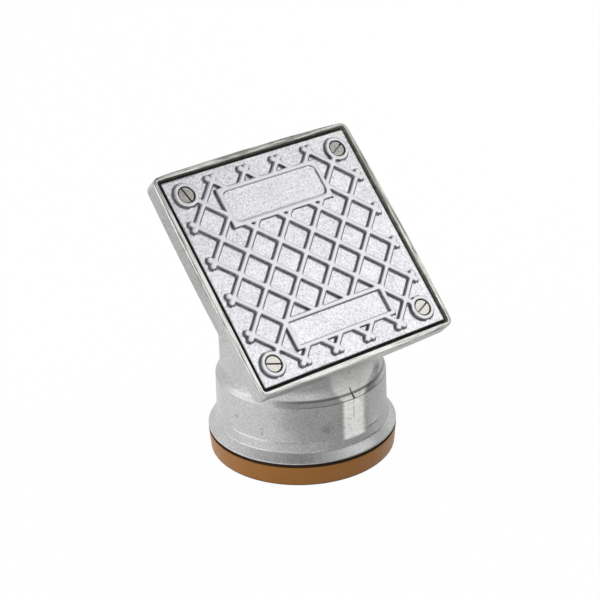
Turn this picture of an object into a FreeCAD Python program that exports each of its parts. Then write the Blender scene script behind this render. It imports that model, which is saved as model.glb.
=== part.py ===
"""Rodding eye for a 110 mm drain: a cast socket and neck under a square cover tilted towards the user."""
import FreeCAD, Part
import math
import os

import Sketcher
from FreeCAD import Placement, Rotation, Vector

# Every driving dimension, in millimetres and degrees: name, value, meaning.
SIZES = [
    ("pipe_radius", 55.0, "outer radius of the drain pipe that the socket takes"),
    ("pipe_clearance", 0.4, "radial clearance of the pipe in the socket and in the cap"),
    ("socket_wall", 6.1, "wall of the socket"),
    ("stop_step", 2.9, "radial step at the top of the socket that stops the pipe"),
    ("neck_wall", 5.5, "wall of the neck above the pipe stop"),
    ("seal_room", 5.1, "radial depth of the seal chamber"),
    ("mouth_wall", 3.9, "wall of the mouth around the seal chamber"),
    ("snap_height", 0.7, "height of the bead that the cap snaps over"),
    ("snap_level", 5.0, "height of the bead above the end of the mouth"),
    ("snap_slope", 0.8, "height of each sloping side of the bead"),
    ("snap_land", 1.4, "flat top of the bead"),
    ("snap_clearance", 0.1, "clearance between the cap and the mouth"),
    ("flange_overhang", 4.1, "how far the flange stands out from the mouth"),
    ("flange_edge", 0.9, "thickness of the flange at its edge"),
    ("flange_rise", 5.4, "height of the flange's conical top"),
    ("collar_step", 1.7, "how far the collar above the flange stands out from the socket"),
    ("collar_rise", 7.0, "height over which the collar runs out into the socket"),
    ("socket_length", 28.5, "straight outer length of the socket above the collar"),
    ("shoulder_rise", 7.5, "height of the shoulder between the socket and the neck"),
    ("pipe_depth", 40.0, "length of the socket bore from the seal chamber to the pipe stop"),
    ("chamber_depth", 19.0, "height of the seal chamber"),
    ("cap_floor", 3.0, "thickness of the cap's floor"),
    ("cap_height", 16.2, "height of the cap"),
    ("cap_wall", 3.5, "wall of the cap at its top"),
    ("cap_draft", 0.8, "how much the cap narrows towards its floor"),
    ("cap_bevel", 0.9, "bevel at the foot of the cap"),
    ("cap_gap", 1.5, "open gap between the cap and the flange"),
    ("seal_clearance", 0.1, "clearance between the ring seal and its chamber"),
    ("seal_lip_clearance", 0.2, "clearance between the lip's edge and the socket bore"),
    ("seal_heel", 10.0, "height of the seal's thick heel"),
    ("seal_heel_width", 3.4, "width of the seal's heel"),
    ("seal_lip_rise", 7.5, "height of the lip above the heel"),
    ("seal_lip_width", 1.6, "thickness of the lip at its edge"),
    ("cover_tilt", 45.0, "angle of the cover from level, in degrees"),
    ("neck_front", 19.3, "straight length of the neck's front between the shoulder and the frame"),
    ("frame_shift", 1.25, "distance of the socket axis up the slope from the frame's centre"),
    ("frame_margin", 3.0, "how far the frame reaches past the neck, above and below it on the slope"),
    ("cover_thickness", 5.6, "thickness of the cover under its ribs"),
    ("cover_clearance", 2.3, "gap round the cover"),
    ("rim_width", 3.2, "width of the frame's rim at its corners"),
    ("rim_depth", 1.3, "depth of the rim below the rib tops"),
    ("side_bow", 1.3, "outward bow of the frame's sides"),
    ("frame_corner_radius", 6.0, "corner radius of the frame"),
    ("frame_edge_radius", 1.6, "rounding of the frame's lower edge"),
    ("ledge_thickness", 5.0, "thickness of the ledge that carries the cover"),
    ("opening_inset", 2.5, "how far the ledge reaches in over the throat at each side"),
    ("opening_stretch", 16.0, "half of the straight length of the ledge's opening"),
    ("opening_overcut", 2.0, "depth by which the opening is cleared below the ledge"),
    ("gasket_thickness", 2.0, "thickness of the gasket"),
    ("gasket_clearance", 0.8, "gap round the gasket"),
    ("gasket_setback", 3.0, "how far the gasket stays back from the ledge's opening"),
    ("lattice_margin", 9.0, "distance of the lattice's outer crossings from the cover's edge"),
    ("rib_width", 3.3, "width of a rib"),
    ("rib_height", 2.4, "height of the ribs, panels and bosses above the cover"),
    ("rib_tail", 4.1, "how far a rib runs on past its last crossing"),
    ("panel_width", 87.0, "width of the raised panels"),
    ("panel_border", 3.2, "border of the raised panels"),
    ("upper_panel_height", 31.0, "height of the upper panel"),
    ("upper_panel_centre", 48.0, "distance of the upper panel's centre above the cover's centre"),
    ("upper_field_depth", 0.7, "depth of the upper panel's field"),
    ("upper_field_radius", 5.0, "corner radius of the upper panel's field"),
    ("lower_panel_height", 23.8, "height of the lower panel"),
    ("lower_panel_centre", 51.6, "distance of the lower panel's centre below the cover's centre"),
    ("screw_inset", 13.5, "distance of the screws from the cover's edges"),
    ("boss_radius", 9.2, "radius of a screw boss at its top"),
    ("boss_draft", 0.6, "how much a screw boss widens towards its foot"),
    ("head_radius", 5.8, "radius of a screw head"),
    ("head_height", 4.0, "height of a screw head"),
    ("head_sink", 0.5, "depth of a screw head below the boss's top"),
    ("head_clearance", 0.5, "radial clearance round a screw head"),
    ("slot_width", 1.6, "width of a screw's slot"),
    ("slot_depth", 1.8, "depth of a screw's slot"),
    ("shank_radius", 3.0, "radius of a screw's shank"),
    ("shank_length", 18.0, "length of a screw's shank"),
    ("shank_clearance", 0.4, "radial clearance of a shank in the cover and the gasket"),
    ("thread_clearance", 0.1, "radial clearance of a shank in its threaded hole"),
    ("thread_boss_radius", 8.0, "radius of the threaded bosses under the ledge"),
    ("thread_boss_length", 10.0, "length of the threaded bosses under the ledge"),
    ("slot_angle_upper_left", 104.0, "turn of the upper left screw's slot, in degrees"),
    ("slot_angle_upper_right", 27.0, "turn of the upper right screw's slot, in degrees"),
    ("slot_angle_lower_left", 162.0, "turn of the lower left screw's slot, in degrees"),
    ("slot_angle_lower_right", 23.0, "turn of the lower right screw's slot, in degrees"),
]
VALUES = {name: value for name, value, meaning in SIZES}

# Radii from the socket axis.
BORE = "pipe_radius + pipe_clearance"
SOCKET = BORE + " + socket_wall"
THROAT = BORE + " - stop_step"
NECK = THROAT + " + neck_wall"
CHAMBER = BORE + " + seal_room"
MOUTH = CHAMBER + " + mouth_wall"
CAP_BORE = MOUTH + " + snap_clearance"

# Heights above the base, which is the underside of the cap.
FLANGE_LEVEL = "cap_height + cap_gap"
COLLAR_LEVEL = FLANGE_LEVEL + " + flange_edge + flange_rise"
SOCKET_LEVEL = COLLAR_LEVEL + " + collar_rise"
SHOULDER_LEVEL = SOCKET_LEVEL + " + socket_length"
NECK_LEVEL = SHOULDER_LEVEL + " + shoulder_rise"
CHAMBER_TOP = "cap_floor + chamber_depth"
STOP_LEVEL = CHAMBER_TOP + " + pipe_depth"
BEAD_LEVEL = "cap_floor + snap_level"
LAND_LEVEL = BEAD_LEVEL + " + snap_slope"
LAND_TOP = LAND_LEVEL + " + snap_land"
BEAD_TOP = LAND_TOP + " + snap_slope"

# Depths below the plane of the rib tops, square to the cover.
COVER_UNDERSIDE = "rib_height + cover_thickness"
LEDGE_DEPTH = COVER_UNDERSIDE + " + gasket_thickness"
FRAME_DEPTH = LEDGE_DEPTH + " + ledge_thickness"

# Sizes on the cover's own plane. The frame spans the neck's slanting section.
RECESS_SIDE = "frame_side - rim_width - rim_width"
COVER_SIDE = RECESS_SIDE + " - cover_clearance - cover_clearance"
SCREW_PITCH = COVER_SIDE + " - screw_inset - screw_inset"
LATTICE_SIDE = COVER_SIDE + " - lattice_margin - lattice_margin"
OPENING_RADIUS = THROAT + " - opening_inset"
HEAD_SEAT = "head_sink + head_height"

# The places of the screws: name, side across the cover, side along its slope.
SCREW_PLACES = [
    ("upper_left", -1, 1),
    ("upper_right", 1, 1),
    ("lower_left", -1, -1),
    ("lower_right", 1, -1),
]
RIB_COUNT_EACH_SIDE = 4
PITCHES_ACROSS = RIB_COUNT_EACH_SIDE + 1
RIB_ANGLE = 45
FULL_TURN = 360.0
# A cut that has to clear the whole part is this many frame sides large.
WELL_CLEAR = 4
# An edge counts as lying on a line or plane within this distance, in millimetres.
NEAR = 0.5


def signed_names(formula):
    """Yields the sign and the name of each size in a sum such as 'cap_height + cap_gap'."""
    sign = 1
    for word in formula.split():
        if word == "+":
            sign = 1
        elif word == "-":
            sign = -1
        else:
            yield sign, word


def number(formula):
    """Works out a sum of sizes for the first drawing of a sketch."""
    return sum(sign * VALUES[name] for sign, name in signed_names(formula))


def bound(formula):
    """Writes a sum of sizes as an expression on the sheet, in brackets."""
    words = []
    for sign, name in signed_names(formula):
        words.append("+" if sign > 0 else "-")
        words.append(FOLLOWING.get(name, f"dims.{name}"))
    return "(" + " ".join(words).removeprefix("+ ") + ")"


# Sizes that follow from the slant of the neck, each with its expression and its first value.
FOLLOWING = {}
TILT = math.radians(VALUES["cover_tilt"])
FOLLOWING["frame_side"] = f"2 * ({bound(NECK)} / cos(dims.cover_tilt) + dims.frame_margin)"
VALUES["frame_side"] = 2 * (number(NECK) / math.cos(TILT) + VALUES["frame_margin"])
AXIS_LEVEL = f"({bound(NECK_LEVEL)} + dims.neck_front + {bound(NECK)} * tan(dims.cover_tilt))"
FACE_HEIGHT = (
    f"({AXIS_LEVEL} - dims.frame_shift * sin(dims.cover_tilt) + {bound(FRAME_DEPTH)} * cos(dims.cover_tilt))"
)
FACE_REACH = f"(dims.frame_shift * cos(dims.cover_tilt) + {bound(FRAME_DEPTH)} * sin(dims.cover_tilt))"


def face_centre():
    """Works out the middle of the cover's face, in the plane of the rib tops."""
    axis_level = number(NECK_LEVEL + " + neck_front") + number(NECK) * math.tan(TILT)
    shift = VALUES["frame_shift"]
    depth = number(FRAME_DEPTH)
    reach = shift * math.cos(TILT) + depth * math.sin(TILT)
    return Vector(0, -reach, axis_level - shift * math.sin(TILT) + depth * math.cos(TILT))


def make_sheet(doc):
    """Writes the driving dimensions to a sheet, each with its own alias."""
    sheet = doc.addObject("Spreadsheet::Sheet", "dims")
    for row, (name, value, meaning) in enumerate(SIZES, start=1):
        sheet.set(f"A{row}", meaning)
        sheet.set(f"B{row}", str(value))
        sheet.setAlias(f"B{row}", name)
    doc.recompute()


def tilt_to_cover(thing, prop, depth, along="0"):
    """Lays a placement on the cover's slope, at a depth below the rib tops and a distance up the slope."""
    setattr(thing, prop, Placement(Vector(), Rotation(Vector(1, 0, 0), VALUES["cover_tilt"])))
    thing.setExpression(f"{prop}.Rotation.Angle", "dims.cover_tilt")
    thing.setExpression(
        f"{prop}.Base.y",
        f"-{FACE_REACH} + {depth} * sin(dims.cover_tilt) + ({along}) * cos(dims.cover_tilt)",
    )
    thing.setExpression(
        f"{prop}.Base.z",
        f"{FACE_HEIGHT} - {depth} * cos(dims.cover_tilt) + ({along}) * sin(dims.cover_tilt)",
    )


def new_body(doc, label):
    """Starts a sub-part whose label names its file."""
    body = doc.addObject("PartDesign::Body", label)
    body.Label = label
    return body


def new_sketch(body, name, plane="XY_Plane"):
    """Starts a sketch on one of the body's own origin planes."""
    sketch = body.newObject("Sketcher::SketchObject", name)
    support = next(item for item in body.Origin.OriginFeatures if item.Role == plane)
    sketch.AttachmentSupport = [(support, "")]
    sketch.MapMode = "FlatFace"
    return sketch


def bind(sketch, constraint, formula):
    """Adds a dimension to a sketch and ties it to the sheet."""
    index = sketch.addConstraint(constraint)
    sketch.setExpression(f"Constraints[{index}]", formula)


def draw_half_section(body, name, corners):
    """Draws a closed half section by radius and height, each corner held by its own two sizes."""
    sketch = new_sketch(body, name, "XZ_Plane")
    points = [Vector(number(radius), number(height), 0) for radius, height in corners]
    for start, end in zip(points, points[1:] + points[:1]):
        sketch.addGeometry(Part.LineSegment(start, end))
    for index, (radius, height) in enumerate(corners):
        before = (index - 1) % len(corners)
        sketch.addConstraint(Sketcher.Constraint("Coincident", before, 2, index, 1))
        across = Sketcher.Constraint("DistanceX", -1, 1, index, 1, points[index].x)
        bind(sketch, across, bound(radius))
        if height:
            up = Sketcher.Constraint("DistanceY", -1, 1, index, 1, points[index].y)
            bind(sketch, up, bound(height))
        else:
            sketch.addConstraint(Sketcher.Constraint("PointOnObject", index, 1, -1))
    return sketch


def revolve(body, name, sketch):
    """Turns a half section round the socket axis."""
    feature = body.newObject("PartDesign::Revolution", name)
    feature.Profile = sketch
    feature.ReferenceAxis = (sketch, ["V_Axis"])
    feature.Angle = FULL_TURN
    sketch.Visibility = False
    return feature


def corners_about_origin(across, up):
    """Gives the corners of a rectangle about the origin by its half sizes, from the lower left."""
    return [Vector(-across, -up, 0), Vector(across, -up, 0), Vector(across, up, 0), Vector(-across, up, 0)]


def draw_rectangle(sketch, width, height, width_expression, height_expression):
    """Draws a rectangle about the sketch's origin."""
    points = corners_about_origin(width / 2, height / 2)
    for start, end in zip(points, points[1:] + points[:1]):
        sketch.addGeometry(Part.LineSegment(start, end))
    for index in range(4):
        sketch.addConstraint(Sketcher.Constraint("Coincident", index, 2, (index + 1) % 4, 1))
    for index, kind in enumerate(["Horizontal", "Vertical", "Horizontal", "Vertical"]):
        sketch.addConstraint(Sketcher.Constraint(kind, index))
    sketch.addConstraint(Sketcher.Constraint("Symmetric", 0, 1, 2, 1, -1, 1))
    bind(sketch, Sketcher.Constraint("DistanceX", 0, 1, 0, 2, width), width_expression)
    bind(sketch, Sketcher.Constraint("DistanceY", 1, 1, 1, 2, height), height_expression)


def draw_square(sketch, side):
    """Draws a square about the sketch's origin."""
    draw_rectangle(sketch, number(side), number(side), bound(side), bound(side))


def draw_bowed_square(sketch, side, bow, side_expression, radius_expression):
    """Draws a square about the sketch's origin whose four sides bow outwards as flat arcs."""
    half = side / 2
    radius = (half * half + bow * bow) / (2 * bow)
    corners = corners_about_origin(half, half)
    outward = [Vector(0, -1, 0), Vector(1, 0, 0), Vector(0, 1, 0), Vector(-1, 0, 0)]
    for index in range(4):
        middle = outward[index] * (half + bow)
        sketch.addGeometry(Part.Arc(corners[index], middle, corners[(index + 1) % 4]))
    for index in range(4):
        sketch.addConstraint(Sketcher.Constraint("Coincident", index, 2, (index + 1) % 4, 1))
    sketch.addConstraint(Sketcher.Constraint("Symmetric", 0, 1, 2, 1, -1, 1))
    sketch.addConstraint(Sketcher.Constraint("Symmetric", 1, 1, 3, 1, -1, 1))
    sketch.addConstraint(Sketcher.Constraint("Horizontal", 0, 1, 1, 1))
    sketch.addConstraint(Sketcher.Constraint("Vertical", 1, 1, 2, 1))
    bind(sketch, Sketcher.Constraint("DistanceX", 0, 1, 1, 1, side), side_expression)
    bind(sketch, Sketcher.Constraint("DistanceY", 1, 1, 2, 1, side), side_expression)
    for index in range(4):
        bind(sketch, Sketcher.Constraint("Radius", index, radius), radius_expression)


def draw_long_opening(sketch, radius_formula):
    """Draws an upright opening with round ends about the sketch's origin."""
    radius = number(radius_formula)
    reach = VALUES["opening_stretch"]
    up = Vector(0, reach, 0)
    across = Vector(radius, 0, 0)
    crown = Vector(0, reach + radius, 0)
    sketch.addGeometry(Part.LineSegment(across - up, across + up))
    sketch.addGeometry(Part.Arc(across + up, crown, up - across))
    sketch.addGeometry(Part.LineSegment(up - across, -up - across))
    sketch.addGeometry(Part.Arc(-up - across, -crown, across - up))
    for index in range(4):
        sketch.addConstraint(Sketcher.Constraint("Tangent", index, 2, (index + 1) % 4, 1))
    sketch.addConstraint(Sketcher.Constraint("Equal", 1, 3))
    sketch.addConstraint(Sketcher.Constraint("PointOnObject", 1, 3, -2))
    sketch.addConstraint(Sketcher.Constraint("Symmetric", 1, 3, 3, 3, -1, 1))
    bind(sketch, Sketcher.Constraint("Radius", 1, radius), bound(radius_formula))
    bind(sketch, Sketcher.Constraint("DistanceY", -1, 1, 1, 3, reach), "dims.opening_stretch")


def draw_screw_circles(sketch, radius_formula):
    """Draws one circle at each of the four screws."""
    pitch = number(SCREW_PITCH)
    radius = number(radius_formula)
    for centre in corners_about_origin(pitch / 2, pitch / 2):
        sketch.addGeometry(Part.Circle(centre, Vector(0, 0, 1), radius))
    for index in range(1, 4):
        sketch.addConstraint(Sketcher.Constraint("Equal", 0, index))
    sketch.addConstraint(Sketcher.Constraint("Symmetric", 0, 3, 2, 3, -1, 1))
    sketch.addConstraint(Sketcher.Constraint("Symmetric", 1, 3, 3, 3, -1, 1))
    sketch.addConstraint(Sketcher.Constraint("Horizontal", 0, 3, 1, 3))
    sketch.addConstraint(Sketcher.Constraint("Vertical", 1, 3, 2, 3))
    bind(sketch, Sketcher.Constraint("Radius", 0, radius), bound(radius_formula))
    bind(sketch, Sketcher.Constraint("DistanceX", 0, 3, 1, 3, pitch), bound(SCREW_PITCH))
    bind(sketch, Sketcher.Constraint("DistanceY", 1, 3, 2, 3, pitch), bound(SCREW_PITCH))


def draw_round(sketch, radius_formula):
    """Draws a circle about the sketch's origin."""
    sketch.addGeometry(Part.Circle(Vector(), Vector(0, 0, 1), number(radius_formula)))
    sketch.addConstraint(Sketcher.Constraint("Coincident", 0, 3, -1, 1))
    bind(sketch, Sketcher.Constraint("Radius", 0, number(radius_formula)), bound(radius_formula))


def extrude(body, kind, name, sketch, length, reverse=False):
    """Pads or pockets a sketch by a length that is tied to the sheet."""
    feature = body.newObject(f"PartDesign::{kind}", name)
    feature.Profile = sketch
    feature.setExpression("Length", length)
    feature.Reversed = reverse
    sketch.Visibility = False
    return feature


def edge_names(shape, wanted):
    """Names the edges of a shape that pass a test."""
    return [f"Edge{index}" for index, edge in enumerate(shape.Edges, start=1) if wanted(edge)]


def cover_coordinates(point):
    """Gives a point's place across the cover, up its slope and out of the plane of the rib tops."""
    tilt = Rotation(Vector(1, 0, 0), VALUES["cover_tilt"])
    return tilt.inverted().multVec(point - face_centre())


def round_edges(body, name, base, size, wanted):
    """Rounds the edges of the newest feature that pass a test."""
    feature = body.newObject("PartDesign::Fillet", name)
    feature.Base = (base, edge_names(base.Shape, wanted))
    feature.setExpression("Radius", f"dims.{size}")
    return feature


def is_frame_corner(edge):
    """Tells whether an edge is one of the frame's four upright outer corners."""
    ends = [cover_coordinates(vertex.Point) for vertex in edge.Vertexes]
    if len(ends) != 2 or edge.Curve.TypeId != "Part::GeomLine":
        return False
    half = VALUES["frame_side"] / 2
    return all(abs(abs(end.x) - half) < NEAR and abs(abs(end.y) - half) < NEAR for end in ends)


def is_frame_foot(edge):
    """Tells whether an edge lies along the outer foot of the frame."""
    middle = cover_coordinates(edge.valueAt((edge.FirstParameter + edge.LastParameter) / 2))
    ends = [cover_coordinates(vertex.Point) for vertex in edge.Vertexes]
    level = all(abs(end.z + number(FRAME_DEPTH)) < NEAR for end in ends)
    reach = VALUES["frame_side"] / 2 - VALUES["frame_corner_radius"]
    return level and max(abs(middle.x), abs(middle.y)) > reach and len(ends) == 2


def make_cast_body(doc):
    """Casts the socket, neck and frame in one piece."""
    body = new_body(doc, "cast_body")
    wall = draw_half_section(body, "wall_section", [
        (CHAMBER, "cap_floor"),
        (MOUTH, "cap_floor"),
        (MOUTH, BEAD_LEVEL),
        (MOUTH + " + snap_height", LAND_LEVEL),
        (MOUTH + " + snap_height", LAND_TOP),
        (MOUTH, BEAD_TOP),
        (MOUTH, FLANGE_LEVEL),
        (MOUTH + " + flange_overhang", FLANGE_LEVEL),
        (MOUTH + " + flange_overhang", FLANGE_LEVEL + " + flange_edge"),
        (SOCKET + " + collar_step", COLLAR_LEVEL),
        (SOCKET, SOCKET_LEVEL),
        (SOCKET, SHOULDER_LEVEL),
        (NECK, NECK_LEVEL),
        (NECK, NECK_LEVEL + " + frame_side + frame_side"),
        (THROAT, NECK_LEVEL + " + frame_side + frame_side"),
        (THROAT, STOP_LEVEL),
        (BORE, STOP_LEVEL),
        (BORE, CHAMBER_TOP),
        (CHAMBER, CHAMBER_TOP),
    ])
    revolve(body, "socket_and_neck", wall)
    doc.recompute()

    slope = new_sketch(body, "neck_end")
    tilt_to_cover(slope, "AttachmentOffset", bound(FRAME_DEPTH))
    clear = WELL_CLEAR * VALUES["frame_side"]
    clear_expression = f"{WELL_CLEAR} * {bound('frame_side')}"
    draw_rectangle(slope, clear, clear, clear_expression, clear_expression)
    extrude(body, "Pocket", "neck_cut", slope, clear_expression, reverse=True)
    doc.recompute()

    outline = new_sketch(body, "frame_outline")
    tilt_to_cover(outline, "AttachmentOffset", bound(FRAME_DEPTH))
    side = bound("frame_side")
    arc_radius = f"{side} * {side} / (8 * dims.side_bow) + dims.side_bow / 2"
    draw_bowed_square(outline, VALUES["frame_side"], VALUES["side_bow"], side, arc_radius)
    frame = extrude(body, "Pad", "frame", outline, bound(FRAME_DEPTH + " - rim_depth"))
    doc.recompute()
    corners = round_edges(body, "frame_corners", frame, "frame_corner_radius", is_frame_corner)
    doc.recompute()
    round_edges(body, "frame_foot", corners, "frame_edge_radius", is_frame_foot)
    doc.recompute()

    recess = new_sketch(body, "recess_outline")
    tilt_to_cover(recess, "AttachmentOffset", bound("rim_depth"))
    draw_square(recess, RECESS_SIDE)
    extrude(body, "Pocket", "cover_recess", recess, bound(LEDGE_DEPTH + " - rim_depth"))

    opening = new_sketch(body, "opening_outline")
    tilt_to_cover(opening, "AttachmentOffset", bound(LEDGE_DEPTH), "dims.frame_shift")
    draw_long_opening(opening, OPENING_RADIUS)
    extrude(body, "Pocket", "ledge_opening", opening, bound("ledge_thickness + opening_overcut"))

    bosses = new_sketch(body, "thread_boss_outline")
    tilt_to_cover(bosses, "AttachmentOffset", bound(FRAME_DEPTH))
    draw_screw_circles(bosses, "thread_boss_radius")
    extrude(body, "Pad", "thread_bosses", bosses, "dims.thread_boss_length", reverse=True)

    holes = new_sketch(body, "thread_hole_outline")
    tilt_to_cover(holes, "AttachmentOffset", bound(LEDGE_DEPTH))
    draw_screw_circles(holes, "shank_radius + thread_clearance")
    extrude(body, "Pocket", "thread_holes", holes, bound("ledge_thickness + thread_boss_length"))
    return body


def make_seal_cap(doc):
    """Moulds the snap cap that closes the seal chamber."""
    body = new_body(doc, "seal_cap")
    groove = CAP_BORE + " + snap_height"
    section = draw_half_section(body, "cap_section", [
        (BORE, ""),
        (CAP_BORE + " + cap_wall - cap_draft - cap_bevel", ""),
        (CAP_BORE + " + cap_wall - cap_draft", "cap_bevel"),
        (CAP_BORE + " + cap_wall", "cap_height"),
        (CAP_BORE, "cap_height"),
        (CAP_BORE, BEAD_TOP + " + snap_clearance"),
        (groove, LAND_TOP + " + snap_clearance"),
        (groove, LAND_LEVEL + " - snap_clearance"),
        (CAP_BORE, BEAD_LEVEL + " - snap_clearance"),
        (CAP_BORE, "cap_floor"),
        (BORE, "cap_floor"),
    ])
    revolve(body, "cap_ring", section)
    return body


def make_ring_seal(doc):
    """Moulds the rubber seal: a heel on the cap's floor and a lip that leans in towards the pipe."""
    body = new_body(doc, "ring_seal")
    outer = CHAMBER + " - seal_clearance"
    inner = outer + " - seal_heel_width"
    lip = BORE + " + seal_lip_clearance"
    heel_top = "cap_floor + seal_heel"
    lip_top = heel_top + " + seal_lip_rise"
    section = draw_half_section(body, "seal_section", [
        (inner, "cap_floor"),
        (outer, "cap_floor"),
        (outer, heel_top),
        (lip + " + seal_lip_width", lip_top),
        (lip, lip_top),
        (inner, heel_top),
    ])
    revolve(body, "seal_ring", section)
    return body


def make_cover_gasket(doc):
    """Cuts the flat gasket that lies on the ledge."""
    body = new_body(doc, "cover_gasket")
    tilt_to_cover(body, "Placement", bound(LEDGE_DEPTH))
    side = RECESS_SIDE + " - gasket_clearance - gasket_clearance"
    outline = new_sketch(body, "gasket_outline")
    draw_square(outline, side)
    extrude(body, "Pad", "gasket_sheet", outline, "dims.gasket_thickness")

    opening = new_sketch(body, "gasket_opening")
    opening.setExpression("AttachmentOffset.Base.y", "dims.frame_shift")
    draw_long_opening(opening, OPENING_RADIUS + " + gasket_setback")
    extrude(body, "Pocket", "gasket_window", opening, "dims.gasket_thickness", reverse=True)

    holes = new_sketch(body, "gasket_hole_outline")
    draw_screw_circles(holes, "shank_radius + shank_clearance")
    extrude(body, "Pocket", "gasket_holes", holes, "dims.gasket_thickness", reverse=True)
    return body


def make_cover_screw(doc, place, across, along):
    """Turns one slotted cheese head screw, seated in its boss."""
    body = new_body(doc, f"cover_screw_{place}")
    half_pitch = f"{bound(SCREW_PITCH)} / 2"
    tilt_to_cover(body, "Placement", "dims.head_sink", f"{along} * {half_pitch}")
    body.setExpression("Placement.Base.x", f"{across} * {half_pitch}")

    head = new_sketch(body, f"head_outline_{place}")
    draw_round(head, "head_radius")
    extrude(body, "Pad", f"head_{place}", head, "dims.head_height", reverse=True)

    shank = new_sketch(body, f"shank_outline_{place}")
    shank.setExpression("AttachmentOffset.Base.z", "-dims.head_height")
    draw_round(shank, "shank_radius")
    extrude(body, "Pad", f"shank_{place}", shank, "dims.shank_length", reverse=True)

    slot = new_sketch(body, f"slot_outline_{place}")
    slot.AttachmentOffset = Placement(Vector(), Rotation(Vector(0, 0, 1), VALUES[f"slot_angle_{place}"]))
    slot.setExpression("AttachmentOffset.Rotation.Angle", f"dims.slot_angle_{place}")
    across_head = 4 * VALUES["head_radius"]
    draw_rectangle(slot, across_head, VALUES["slot_width"], "4 * dims.head_radius", "dims.slot_width")
    extrude(body, "Pocket", f"slot_{place}", slot, "dims.slot_depth")
    return body


def make_block(doc, name, length, width, height, across, along, top):
    """Makes a block by the middle of its top face, on the flat cover."""
    block = doc.addObject("Part::Box", name)
    block.setExpression("Length", length)
    block.setExpression("Width", width)
    block.setExpression("Height", height)
    block.setExpression("Placement.Base.x", f"({across}) - ({length}) / 2")
    block.setExpression("Placement.Base.y", f"({along}) - ({width}) / 2")
    block.setExpression("Placement.Base.z", f"({top}) - ({height})")
    return block


def make_rib(doc, step):
    """Makes one slanting rib of the lattice, a number of pitches off the corner to corner line."""
    pitch = f"{bound(LATTICE_SIDE)} / {PITCHES_ACROSS}"
    if step == 0:
        length = f"{bound(SCREW_PITCH)} * sqrt(2)"
    else:
        length = f"{PITCHES_ACROSS - abs(step)} * {pitch} * sqrt(2) + 2 * dims.rib_tail"
    rib = doc.addObject("Part::Box", f"rib_{step + RIB_COUNT_EACH_SIDE}")
    rib.setExpression("Length", length)
    rib.setExpression("Width", "dims.rib_width")
    rib.setExpression("Height", "dims.rib_height")
    rib.Placement = Placement(Vector(), Rotation(Vector(0, 0, 1), RIB_ANGLE))
    middle = f"{step} * {pitch} / 2"
    run = f"({length}) * cos({RIB_ANGLE}) / 2"
    side = f"dims.rib_width * sin({RIB_ANGLE}) / 2"
    rib.setExpression("Placement.Base.x", f"{middle} - {run} + {side}")
    rib.setExpression("Placement.Base.y", f"-{middle} - {run} - {side}")
    rib.setExpression("Placement.Base.z", "-dims.rib_height")
    return rib


def make_round_block(doc, name, kind, radius, height, across, along, top):
    """Makes an upright round block at a screw; a cone also has a foot that the boss's draft widens."""
    block = doc.addObject(f"Part::{kind}", name)
    if kind == "Cone":
        block.setExpression("Radius1", f"{radius} + dims.boss_draft")
        block.setExpression("Radius2", radius)
    else:
        block.setExpression("Radius", radius)
    block.setExpression("Height", height)
    block.setExpression("Placement.Base.x", f"{across} * {bound(SCREW_PITCH)} / 2")
    block.setExpression("Placement.Base.y", f"{along} * {bound(SCREW_PITCH)} / 2")
    block.setExpression("Placement.Base.z", f"({top}) - ({height})")
    return block


def fuse(doc, name, pieces):
    """Joins pieces into one."""
    joined = doc.addObject("Part::MultiFuse", name)
    joined.Shapes = pieces
    joined.Refine = True
    return joined


def make_upper_field(doc):
    """Makes the shallow field of the upper panel, with round corners, as a cutter."""
    block = make_block(
        doc, "upper_field_block", "dims.panel_width - 2 * dims.panel_border",
        "dims.upper_panel_height - 2 * dims.panel_border", "dims.upper_field_depth",
        "0", "dims.upper_panel_centre", "0")
    doc.recompute()
    field = doc.addObject("Part::Fillet", "upper_field")
    field.Base = block
    radius = VALUES["upper_field_radius"]
    upright = edge_names(block.Shape, lambda edge: abs(edge.tangentAt(edge.FirstParameter).z) > NEAR)
    field.Edges = [(int(name.removeprefix("Edge")), radius, radius) for name in upright]
    return field


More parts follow.
